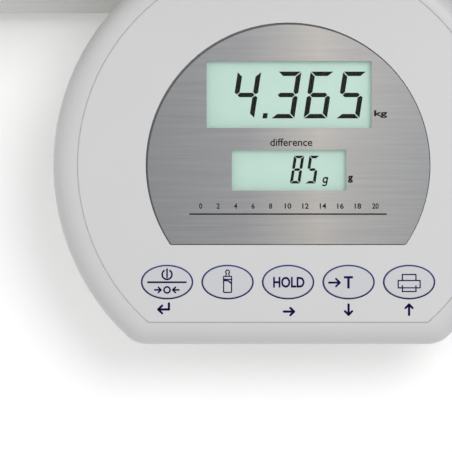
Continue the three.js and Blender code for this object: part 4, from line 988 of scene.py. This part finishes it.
def printed_ink(name, first, second, span, gloss=0.5):
    """Ink whose tone runs from the first colour at one height of the face to the second at another"""
    finish = material(name, Specular_IOR_Level=0.04)
    spot = face_spot(finish)
    low, high = span
    run = (finish.axis(spot, "Y") - low) / (high - low)
    grain = finish.noise(spot, 0.5, 3.0)
    finish.feed(Base_Color=finish.blend(run + 0.2 * grain - 0.1, first, second))
    finish.feed(Roughness=gloss + 0.15 * grain)
    return finish.owner


def flat_shape(points):
    mesh = bmesh.new()
    mesh.faces.new([mesh.verts.new((across, up, 0)) for across, up in points])
    return mesh


segments_of = {"3": "abgcd", "4": "fgbc", "5": "afgcd", "6": "afgedc", "8": "abcdefg"}


def digit(figure, u, v, width, height, bar, upright, gap):
    """A seven-segment figure from its lower left corner, slanted as on such displays"""
    half, thick = height / 2, bar / 2
    tip, far_tip = upright / 2 + gap, width - upright / 2 - gap
    side = [(0, gap), (upright, bar + gap), (upright, half - thick - gap), (upright / 2, half - gap)]
    side.append((0, half - thick))
    level = [(gap, height), (upright + gap, height - bar)]
    level += [(width - upright - gap, height - bar), (width - gap, height)]
    middle = [(tip, half), (tip + thick, half - thick), (far_tip - thick, half - thick), (far_tip, half)]
    middle += [(far_tip - thick, half + thick), (tip + thick, half + thick)]

    def flipped(points, sideways, upside):
        return [(width - x if sideways else x, height - y if upside else y) for x, y in points]

    shapes = {
        "a": level, "d": flipped(level, False, True), "g": middle, "e": side, "c": flipped(side, True, False),
        "f": flipped(side, False, True), "b": flipped(side, True, True),
    }
    return [
        flat_shape([(u + x + digit_slant * y, v + y) for x, y in shapes[segment]])
        for segment in segments_of[figure]
    ]


def thickened(mesh, thickness, border=(), drop=0.0):
    """A flat sheet from its underside, lowered by a little along the border"""
    raised = bmesh.ops.extrude_face_region(mesh, geom=mesh.faces[:])
    tops = {item for item in raised["geom"] if isinstance(item, bmesh.types.BMVert)}
    bmesh.ops.translate(mesh, vec=(0, 0, thickness), verts=list(tops))
    lowered = {edge.other_vert(vert) for vert in border for edge in vert.link_edges} & tops
    bmesh.ops.translate(mesh, vec=(0, 0, -drop), verts=list(lowered))
    return mesh


def stamped(parts, surface, proud=0.02):
    """Flat shapes at one height made into thin printed solids on a surface of the face"""
    sunk = 0.01
    return moved(thickened(together(parts), proud + sunk), z=surface - sunk)


def lettering(words, left, right, low, high, weight=0.0):
    """Plain words as flat shapes, fitted between four lines"""
    curve = bpy.data.curves.new("words", "FONT")
    curve.body = words
    curve.offset = weight
    curve.resolution_u = 4
    item = bpy.data.objects.new("words", curve)
    bpy.context.scene.collection.objects.link(item)
    mesh = bmesh.new()
    mesh.from_mesh(item.evaluated_get(bpy.context.evaluated_depsgraph_get()).to_mesh())
    bpy.data.curves.remove(curve)
    spans = [[vert.co[index] for vert in mesh.verts] for index in (0, 1)]
    (west, east), (south, north) = ((min(span), max(span)) for span in spans)
    moved(mesh, -west, -south)
    fit = ((right - left) / (east - west), (high - low) / (north - south), 1)
    bmesh.ops.scale(mesh, vec=fit, verts=mesh.verts)
    return moved(mesh, left, low)


def stroke(start, end, width):
    """A printed line with round ends"""
    mesh = bmesh.new()
    start, end = Vector(start), Vector(end)
    run = end - start
    bmesh.ops.create_circle(mesh, cap_ends=True, segments=14, radius=width / 2)
    ahead = [vert for vert in mesh.verts if vert.co.x > 0]
    bmesh.ops.translate(mesh, vec=(run.length, 0, 0), verts=ahead)
    turn = Matrix.Rotation(math.atan2(run.y, run.x), 4, "Z")
    return moved(placed(mesh, turn), start.x, start.y)


def arc_mark(centre, radius, width, first=0.0, sweep=360.0):
    """A printed circle, or a part of one, about a place"""
    mesh = bmesh.new()
    edge = mesh.edges.new([mesh.verts.new((radius + side * width / 2, 0, 0)) for side in (-1, 1)])
    placed(mesh, about("Z", first))
    bmesh.ops.spin(
        mesh, geom=[edge, *edge.verts], axis=(0, 0, 1), angle=math.radians(sweep),
        steps=round(sweep / 8), use_merge=sweep == 360.0,
    )
    return moved(mesh, centre[0], centre[1])


def small_g(u, v, line):
    """A one-storey g from its lower left corner, slanted like the figures"""
    bowl = arc_mark((0, 0), 0.74, line)
    bmesh.ops.scale(bowl, vec=(1, 1.2, 1), verts=bowl.verts)
    hook = arc_mark((0.98, 0.98), 0.78, line, -150, 150)
    letter = together([moved(bowl, 1.0, 2.35), stroke((1.76, 3.25), (1.76, 1.0), line), hook])
    lean = Matrix.Identity(4)
    lean[0][1] = letter_slant
    return moved(placed(letter, lean), u, v)


figures = [small_g(12.95, -8.05, 0.55), flat_shape(decimal_point)]
for figure, u, v, size in readings:
    figures += digit(figure, u, v, *size)
lcd_dark = printed_ink("display segments", tint(10, 10, 10), tint(12, 12, 12), (-10, 40), 0.7)
figure_mesh = stamped(figures, lcd_top, 0.03)
finished("display_figures", figure_mesh, lcd_dark, "base", "display_glass", place=on_face)
glass_look = display_glass()


def panes(half_width, low, high):
    """Two panes of glass, the upper one a little smaller, so that the lower one shows as a ledge"""
    between = lcd_top - pane_thickness
    inner = half_width - pane_inset
    lower = block((-half_width, low, between - pane_thickness), (half_width, high, between), pane_edge)
    return together([lower, block((-inner, low + pane_ledge, between), (inner, high, lcd_top), pane_edge)])


for node, *sizes in panels:
    finished(f"panel_{node}", panes(*sizes), glass_look, "base", "display_glass", node, place=on_face)
dressed(black_plastic, "display_frame")


def clear_film():
    finish = material("clear sheet", Alpha=0.01, IOR=1.49)
    haze = finish.noise(face_spot(finish), 5.0)
    finish.feed(Base_Color=finish.blend(haze, tint(236, 240, 240), tint(246, 248, 248)))
    finish.feed(Roughness=0.06 + 0.04 * haze)
    return finish.owner


sheet = block(*clear_sheet, pane_edge)
finished("window_sheet", sheet, clear_film(), "base", "clear_sheet", "display_window", place=on_face)

# Keypad: a printed circuit sheet on the casing, and over it a matt polycarbonate film that is bonded into
# the recess. It is die-cut round the brushed plate and round the five key domes.
overlay_outline = (80.76, 60.36, 1.7)
overlay_thickness = 0.9
overlay_rim = 0.4
overlay_rim_drop = 0.16
fascia_outline = (54.3, 30.4, 0.8)
fascia_gap = 0.3
key_half_width = 9.45
key_half_height = 6.1
key_gap = 0.25
key_places = {"power": -46.4, "bottle": -23.2, "hold": 0.0, "tare": 23.2, "print": 46.4}


def circuit_sheet():
    """Pale polyester with silver tracks"""
    finish = material("circuit sheet")
    spot = face_spot(finish)
    track = abs(finish.noise(face_spot(finish, 6, 1, 1), 2.2, 0.0) - 0.5) < 0.06
    finish.feed(Base_Color=finish.blend(track, tint(226, 222, 204), tint(150, 152, 154)))
    finish.feed(Metallic=0.7 * track, Roughness=0.35 + 0.1 * finish.noise(spot, 2.0))
    return finish.owner


def film(name, colour, rim=None):
    """Matt printed film: a fine pebbled face over an even ink, with a darker, warmer band of painted shade
    along its outer rim, which widens the seam round it
    """
    finish = material(name)
    spot = face_spot(finish)
    pebble = finish.noise(spot, 0.35)
    cloud = finish.noise(spot, 30.0)
    tone = finish.blend(cloud, toned(colour, 0.985), toned(colour, 1.015))
    # Painted shade: a darker, warmer band along the outer rim, which widens the seam round the film.
    if rim:
        radius, chord = rim
        across, along = finish.axis(spot, "X"), finish.axis(spot, "Y")
        reach = (across * across + along * along).maths("SQRT")
        cut = ((reach > radius) + (along < -chord)).maths("MINIMUM", 1)
        tone = finish.blend(cut, tone, tint(203, 197, 190))
    finish.feed(Base_Color=tone, Roughness=0.46 + 0.1 * pebble)
    finish.relief(pebble, 0.01)
    return finish.owner


def oval(mesh, half_width, half_height, u, v, height):
    ring = bmesh.ops.create_circle(mesh, segments=72, radius=1)["verts"]
    bmesh.ops.scale(mesh, vec=(half_width, half_height, 1), verts=ring)
    bmesh.ops.translate(mesh, vec=(u, v, height), verts=ring)
    return list({edge: None for vert in ring for edge in vert.link_edges})


dressed(circuit_sheet(), "keypad_circuit")
# Where the overlay film's band of painted seam shade begins.
seam_shade_start = [length - overlay_rim for length in overlay_outline[:2]]
overlay_film = film("overlay film", tint(210, 210, 211), seam_shade_start)
overlay = bmesh.new()
border = console_ring(overlay, overlay_outline, overlay_rim, -overlay_thickness, 144)
console_ring(overlay, fascia_outline, -fascia_gap, -overlay_thickness, 96)
for u in key_places.values():
    oval(overlay, key_half_width + key_gap, key_half_height + key_gap, u, face_row, -overlay_thickness)
bmesh.ops.triangle_fill(overlay, use_beauty=True, edges=overlay.edges[:])
outer_edge = console_ring(overlay, overlay_outline, 0, -overlay_thickness, 144)
skinned(overlay, [border, outer_edge], capped=False)
thickened(overlay, overlay_thickness, ring_verts(outer_edge), overlay_rim_drop)
finished(
    "overlay_sheet", overlay, overlay_film, "base", "overlay_film", "key_overlay", place=on_face, crease=25
)

# Keys: five oval domes formed in the film, each with 0.4 mm of travel over its contact. A blue-black line
# is printed round each one, painted lighter and bluer along its top as a highlight, and function marks are
# printed on them and under them.
key_top = 0.5
key_height = 1.0
key_lip = 0.4
line_section = [(9.52, 6.16, -0.3), (9.52, 6.16, 0.1), (9.64, 6.27, 0.12), (10.06, 6.66, 0.02)]
line_section.append((10.06, 6.66, -0.3))
key_face = film("key film", tint(202, 203, 207))
ink_blue = printed_ink("mark ink", tint(18, 11, 66), tint(23, 15, 76), (-60, -40))
# Painted highlight: the ring ink runs from dark at the bottom of each ring to lighter and bluer at its top.
ring_ink_painted_highlight = printed_ink("ring ink", tint(28, 18, 84), tint(66, 72, 128), (face_row - 6.6, face_row + 6.6))


def arrow(start, end, barb, width):
    """A line with an open arrow head whose two barbs lie at 45 degrees"""
    start, end = Vector(start), Vector(end)
    back = (start - end).normalized() * barb
    across = Vector((-back.y, back.x))
    barbs = [stroke(end, end + back + side * across, width) for side in (1, -1)]
    return [stroke(start, end, width), *barbs]


def polyline(points, width):
    return [stroke(start, end, width) for start, end in zip(points, points[1:])]


key_marks = {
    "power": [
        arc_mark((0, 2.9), 1.86, 0.65, 119, 302),
        stroke((0, 5.0), (0, 1.8), 0.65),
        stroke((-7.3, -0.06), (7.2, -0.06), 0.73),
        arc_mark((0, -2.99), 1.16, 0.62),
        *arrow((-4.65, -2.99), (-2.32, -2.99), 1.0, 0.68),
        *arrow((4.5, -2.99), (2.2, -2.99), 1.0, 0.68),
    ],
    "bottle": [
        *polyline([(-1.52, 0.9), (-1.52, -3.7), (-1.3, -3.95), (1.3, -3.95), (1.52, -3.7), (1.52, 0.9)], 0.5),
        *polyline([(-1.6, 1.05), (1.6, 1.05)], 0.5),
        *polyline([(-1.55, 1.1), (-1.5, 2.2), (1.5, 2.2), (1.55, 1.1)], 0.45),
        *polyline([(-0.62, 2.3), (-0.62, 2.8), (-0.4, 3.3)], 0.45),
        *polyline([(0.62, 2.3), (0.62, 2.8), (0.4, 3.3)], 0.45),
        arc_mark((0, 3.9), 0.72, 0.48, -52, 284),
        flat_shape(
            [(-1.5, 0.9), (-1.5, 0.35), (0.2, 0.2), (1.3, -0.75), (1.5, -0.6), (1.5, -0.2), (0.5, 0.7)]
        ),
    ],
    "hold": [lettering("HOLD", -5.75, 6.29, -2.15, 2.03, 0.03)],
    "tare": [
        *arrow((-7.5, -0.19), (-3.4, -0.19), 1.4, 0.8),
        flat_shape([(-1.8, 1.4), (1.65, 1.4), (1.65, 2.3), (-1.8, 2.3)]),
        flat_shape([(-0.53, -2.45), (0.39, -2.45), (0.39, 1.4), (-0.53, 1.4)]),
    ],
    "print": [
        *polyline([(-2.6, 2.9), (-2.6, 0.6), (2.6, 0.6), (2.6, 2.9), (-2.6, 2.9)], 0.5),
        *polyline([(-2.6, 0.6), (-4.2, 0.6), (-4.2, -2.2), (4.2, -2.2), (4.2, 0.6), (2.6, 0.6)], 0.5),
        *polyline([(-2.6, -1.4), (-2.6, -3.6), (2.6, -3.6), (2.6, -1.4)], 0.5),
    ],
}
marks_below = {
    "power": [
        stroke((0.72, -8.2), (0.72, -10.49), 0.92),
        *arrow((0.72, -10.49), (-3.37, -10.49), 1.45, 0.92),
    ],
    "hold": arrow((-1.6, -11.31), (2.27, -11.31), 1.36, 0.92),
    "tare": arrow((0, -8.6), (0, -12.55), 1.33, 0.92),
    "print": arrow((0, -12.55), (0, -8.6), 1.33, 0.92),
}
lines = bmesh.new()
below = []
for name, u in key_places.items():
    key = (f"{name}_key", "key_film")
    dome = bmesh.new()
    oval(dome, key_half_width, key_half_height, 0, 0, 0)
    bmesh.ops.holes_fill(dome, edges=dome.edges[:])
    thickened(dome, key_height)
    lip = [edge for edge in dome.edges if all(vert.co.z > key_height / 2 for vert in edge.verts)]
    at = on_face @ Matrix.Translation((u, face_row, key_top - key_height))
    finished(f"dome_{name}", softened(dome, lip, key_lip, 4), key_face, *key, f"key_{name}", place=at)
    at = on_face @ Matrix.Translation((u, face_row, 0))
    finished(f"mark_{name}", stamped(key_marks[name], key_top), ink_blue, *key, place=at)
    rings = [oval(lines, across, along, u, face_row, height) for across, along, height in line_section]
    for lower, upper in zip(rings, rings[1:] + rings[:1]):
        bmesh.ops.bridge_loops(lines, edges=lower + upper)
    below += [moved(part, u, face_row) for part in marks_below.get(name, [])]
finished("key_lines", lines, ring_ink_painted_highlight, "base", "overlay_film", place=on_face)
finished("overlay_marks", stamped(below, 0), ink_blue, "base", "overlay_film", place=on_face)

# Brushed plate: anodised aluminium, brushed from side to side and glued into the film's cut-out, with
# two windows and a few printed words and figures. Its colour holds a painted reflection, brightest right
# of the middle, and a dark edge band of painted shade for the gap round it.
fascia_bottom = -0.9
fascia_top = -0.05
fascia_windows = [(31.65, 12.85, 0.4, 27.05), (21.95, 7.85, 0.4, -1.95)]
window_corner = 0.3
# Painted shade: the width of the plate's dark edge band, and its shift towards the upper left, where it is
# widest.
edge_shade_width = 0.1
edge_shade_shift = 0.42
words = [("difference", -6.85, 9.3, 7.25, 10.2, 0.012), ("g", 22.93, 24.85, -6.83, -4.1, 0.04)]
words.append(("kg", 33, 38, 18, 21, 0.03))
rule = [(-37.8, -19.1), (37.8, -19.1), (37.8, -18.55), (-37.8, -18.55)]
scale_low = -16.8
scale_high = -14.7
scale_step = 3.35
scale_weight = 0.022


def brushed_plate():
    """Fine brush lines over a painted reflection, a base colour brightest right of the middle, and a dark
    edge band of painted shade for the gap round the plate, widest at the upper left"""
    radius, chord = (length - edge_shade_width for length in fascia_outline[:2])
    finish = material("brushed plate")
    spot = face_spot(finish)
    across, along = finish.axis(spot, "X"), finish.axis(spot, "Y")
    brush = finish.noise(face_spot(finish, 60, 1, 1), 0.55)
    broad = finish.noise(face_spot(finish, 30, 1, 1), 1.6)
    # Painted reflection: the base colour sweeps across the plate, brightest right of the middle.
    stops = [(0, tint(119, 121, 123)), (0.35, tint(130, 130, 132)), (0.61, tint(156, 153, 149))]
    stops += [(0.74, tint(143, 142, 141)), (1, tint(126, 127, 128))]
    sweep = finish.ramp(across / (2 * fascia_outline[0]) + 0.5, stops)
    lined = finish.blend(0.5 * brush + 0.5 * broad, tint(60, 60, 62), tint(255, 255, 255))
    settings = {"data_type": "RGBA", "blend_type": "SOFT_LIGHT"}
    tone = finish.node("ShaderNodeMix", settings, {0: 0.35, 6: sweep, 7: lined}, 2)
    # Painted shade: a dark band round the plate's edge, shifted so that it is widest at the upper left.
    off_across, off_along = across - edge_shade_shift, along + edge_shade_shift
    reach = (off_across * off_across + off_along * off_along).maths("SQRT")
    edge = ((reach > radius) + (along < -chord)).maths("MINIMUM", 1)
    finish.feed(Base_Color=finish.blend(edge, tone, tint(73, 74, 76)))
    finish.feed(Metallic=0.65 - 0.5 * edge, Roughness=0.36 + 0.12 * brush)
    finish.relief(0.6 * brush + 0.4 * broad, 0.008)
    return finish.owner


plate = bmesh.new()
console_ring(plate, fascia_outline, 0, fascia_bottom, 96)
for half_width, half_height, u, v in fascia_windows:
    rounded_ring(plate, half_width, half_height, window_corner, fascia_bottom, u, v, 3)
bmesh.ops.triangle_fill(plate, use_beauty=True, edges=plate.edges[:])
thickened(plate, fascia_top - fascia_bottom)
finished("plate_brushed", plate, brushed_plate(), "base", "brushed_plate", "fascia_plate", place=on_face)
for number in range(0, 21, 2):
    middle = scale_step * (number - 10)
    half_width = 0.6 if number < 10 else 1.25
    words.append((str(number), middle - half_width, middle + half_width, scale_low, scale_high, scale_weight))
plate_print = stamped([flat_shape(rule), *(lettering(*word) for word in words)], fascia_top)
plate_ink = printed_ink("plate ink", tint(24, 24, 26), tint(34, 34, 36), (-30, 30))
finished("plate_marks", plate_print, plate_ink, "base", "brushed_plate", place=on_face)

# Tray caps: four soft caps, moulded in rubber and pushed over the posts of the upper frame. The tray
# rests on them, so that a jolt is softened before it reaches the load cell.
cap_section = [(0, 60.05), (6.1, 60.05), (6.1, 55.4), (6.3, 55), (8.6, 55), (9, 55.4), (9, 63), (8.7, 63.7)]
cap_section += [(8, 64), (2.4, 64), (2, 63.6), (0, 63.6)]
for corner, at in zip(corners, post_middles):
    node = f"tray_cap_{corner}"
    at = Matrix.Translation((at.x, at.y, 0))
    finished(f"post_cap_{corner}", turned(cap_section, 56), foot_rubber, "base", "rubber", node, place=at)

# Weighing tray: one smooth moulding of glossy white ABS, a shallow cradle with raised long sides and a
# rolled lip. Four sockets and crossing ribs under its floor sit over the caps.
tray_low, tray_high = corners_of("weighing_tray")
tray_middle = (tray_low + tray_high) / 2
tray_length = tray_high.x - tray_low.x
tray_floor = 64.0
tray_skin = 2.8
tray_depth = 52.0
tray_sweep = math.radians(80)
tray_levels = 18
tray_sizes = [(163, 269), (83, 129), (62, 101)]
end_dip = 0.28
lip_reach = 11.0
lip_rise = 4.5
lip_steps = [(0.22, 0.66), (0.52, 1), (0.84, 0.8), (1, 0.2)]
rib_foot = 61.0
rib_top = 64.6
rib_half = 1.2
rib_start = 12.0
rib_edge = 0.3
tray_socket = [(10.3, rib_top), (10.3, 60.5), (10.8, 60), (12, 60), (12.5, 60.5), (12.5, rib_top)]
tray_socket.append(tray_socket[0])


def tray_ring(mesh, spread, rise, reach):
    """A level of the cradle, between its sizes at the floor and at the lip; its ends dip"""
    sizes = [mix(*size, spread) + reach for size in tray_sizes]
    ring = rounded_ring(mesh, *sizes, 0, tray_middle.x, tray_middle.y, steps=14, cuts=13)
    for vert in ring_verts(ring):
        dip = 1 - end_dip * (2 * (vert.co.x - tray_middle.x) / tray_length) ** 2
        vert.co.z = tray_floor + tray_skin + rise * dip
    return ring


def tray_cradle():
    """The inner face of the cradle, from its flat floor to the outer edge of its lip"""
    mesh = bmesh.new()
    turns = [tray_sweep * level / tray_levels for level in range(tray_levels + 1)]
    spreads = [math.sin(turn) / math.sin(tray_sweep) for turn in turns]
    rises = [tray_depth * (1 - math.cos(turn)) / (1 - math.cos(tray_sweep)) for turn in turns]
    rings = [tray_ring(mesh, spread, rise, 0) for spread, rise in zip(spreads, rises)]
    for reach, rise in lip_steps:
        rings.append(tray_ring(mesh, 1, tray_depth + lip_rise * rise, lip_reach * reach))
    skinned(mesh, rings, capped=False)
    bmesh.ops.edgeloop_fill(mesh, edges=rings[0])
    return mesh


def tray_underside():
    """Round sockets over the caps, and ribs between them"""
    parts = [moved(turned(tray_socket, 56), at.x, at.y) for at in post_middles]
    across = abs(post_middles[0].x - tray_middle.x)
    along = abs(post_middles[0].y - tray_middle.y)
    for side in (-1, 1):
        for u, v, half_u, half_v in (
            (0, tray_middle.y + side * along, across - rib_start, rib_half),
            (side * across, tray_middle.y, rib_half, along - rib_start),
        ):
            low = (u - half_u, v - half_v, rib_foot)
            parts.append(block(low, (u + half_u, v + half_v, rib_top), rib_edge))
    return together(parts)


tray_gloss = moulded("tray white", tint(233, 233, 231), 0.24, 0.006)
cradle = finished("tray_cradle", tray_cradle(), tray_gloss, "tray", "tray_white", "weighing_tray", crease=60)
thickness = cradle.modifiers.new("skin", "SOLIDIFY")
thickness.thickness = tray_skin * mm
thickness.offset = -1
thickness.use_even_offset = True
finished("tray_ribs", tray_underside(), tray_gloss, "tray", "tray_white")

# Studio: a plain pale floor, a broad soft lamp from the upper right, and an even white surround. The
# camera looks straight at the tilted face of the console, as the photograph does.
surround_light = 0.67
floor_size = 4.0
lamp_distance = 1500.0
camera_place = (-23.8, -23.4)
camera_distance = 962.9


def seen_by(finish, *kinds):
    """One for the kinds of ray that are named, and nothing for all others"""
    first, *others = [finish.node("ShaderNodeLightPath", {}, {}, f"Is {kind} Ray") for kind in kinds]
    for other in others:
        first = first.maths("MAXIMUM", other)
    return first


def floor_paper():
    """Plain paper that shows a little brighter than the lamp makes it"""
    finish = material("floor paper", Roughness=0.8)
    grain = finish.noise(finish.spot(), 2.0)
    glow = seen_by(finish, "Camera", "Glossy")
    finish.feed(Base_Color=finish.blend(grain, tint(236, 236, 236), tint(240, 240, 240)))
    finish.feed(Emission_Color=finish.blend(glow, (0, 0, 0, 1), (0.25, 0.25, 0.25, 1)), Emission_Strength=1.0)
    return finish.owner


def aimed(name, data, u, v, bearing, lean, distance):
    """A lamp or camera that looks at a place on the face, leaned from the face's own normal"""
    item = bpy.data.objects.new(name, data)
    bpy.context.scene.collection.objects.link(item)
    swing = about("Z", bearing) @ about("X", lean)
    stand = on_face @ Matrix.Translation((u, v, 0)) @ swing @ Matrix.Translation((0, 0, distance))
    item.matrix_world = Matrix.Scale(mm, 4) @ stand @ Matrix.Scale(1 / mm, 4)
    return item


world = bpy.data.worlds.new("surround")
bpy.context.scene.world = world
surround = Finish(world, "Background", Color=(1, 1, 1, 1))
seen = seen_by(surround, "Camera", "Glossy", "Transmission")
surround.feed(Strength=surround_light + (1 - surround_light) * seen)
ground = bmesh.new()
bmesh.ops.create_grid(ground, x_segments=1, y_segments=1, size=floor_size)
ground_data = bpy.data.meshes.new("floor")
ground.to_mesh(ground_data)
ground.free()
ground_data.materials.append(floor_paper())
ground_piece = bpy.data.objects.new("floor", ground_data)
bpy.context.scene.collection.objects.link(ground_piece)
softbox = bpy.data.lights.new("softbox", "AREA")
softbox.shape = "DISK"
softbox.size = 0.65
softbox.energy = 7.6
aimed("softbox", softbox, 0, 0, -45, -24, lamp_distance)
lens = bpy.data.cameras.new("camera")
lens.lens = 200
lens.sensor_width = 36
bpy.context.scene.camera = aimed("camera", lens, *camera_place, 0, 0, camera_distance)
bpy.context.scene.view_settings.view_transform = "Standard"
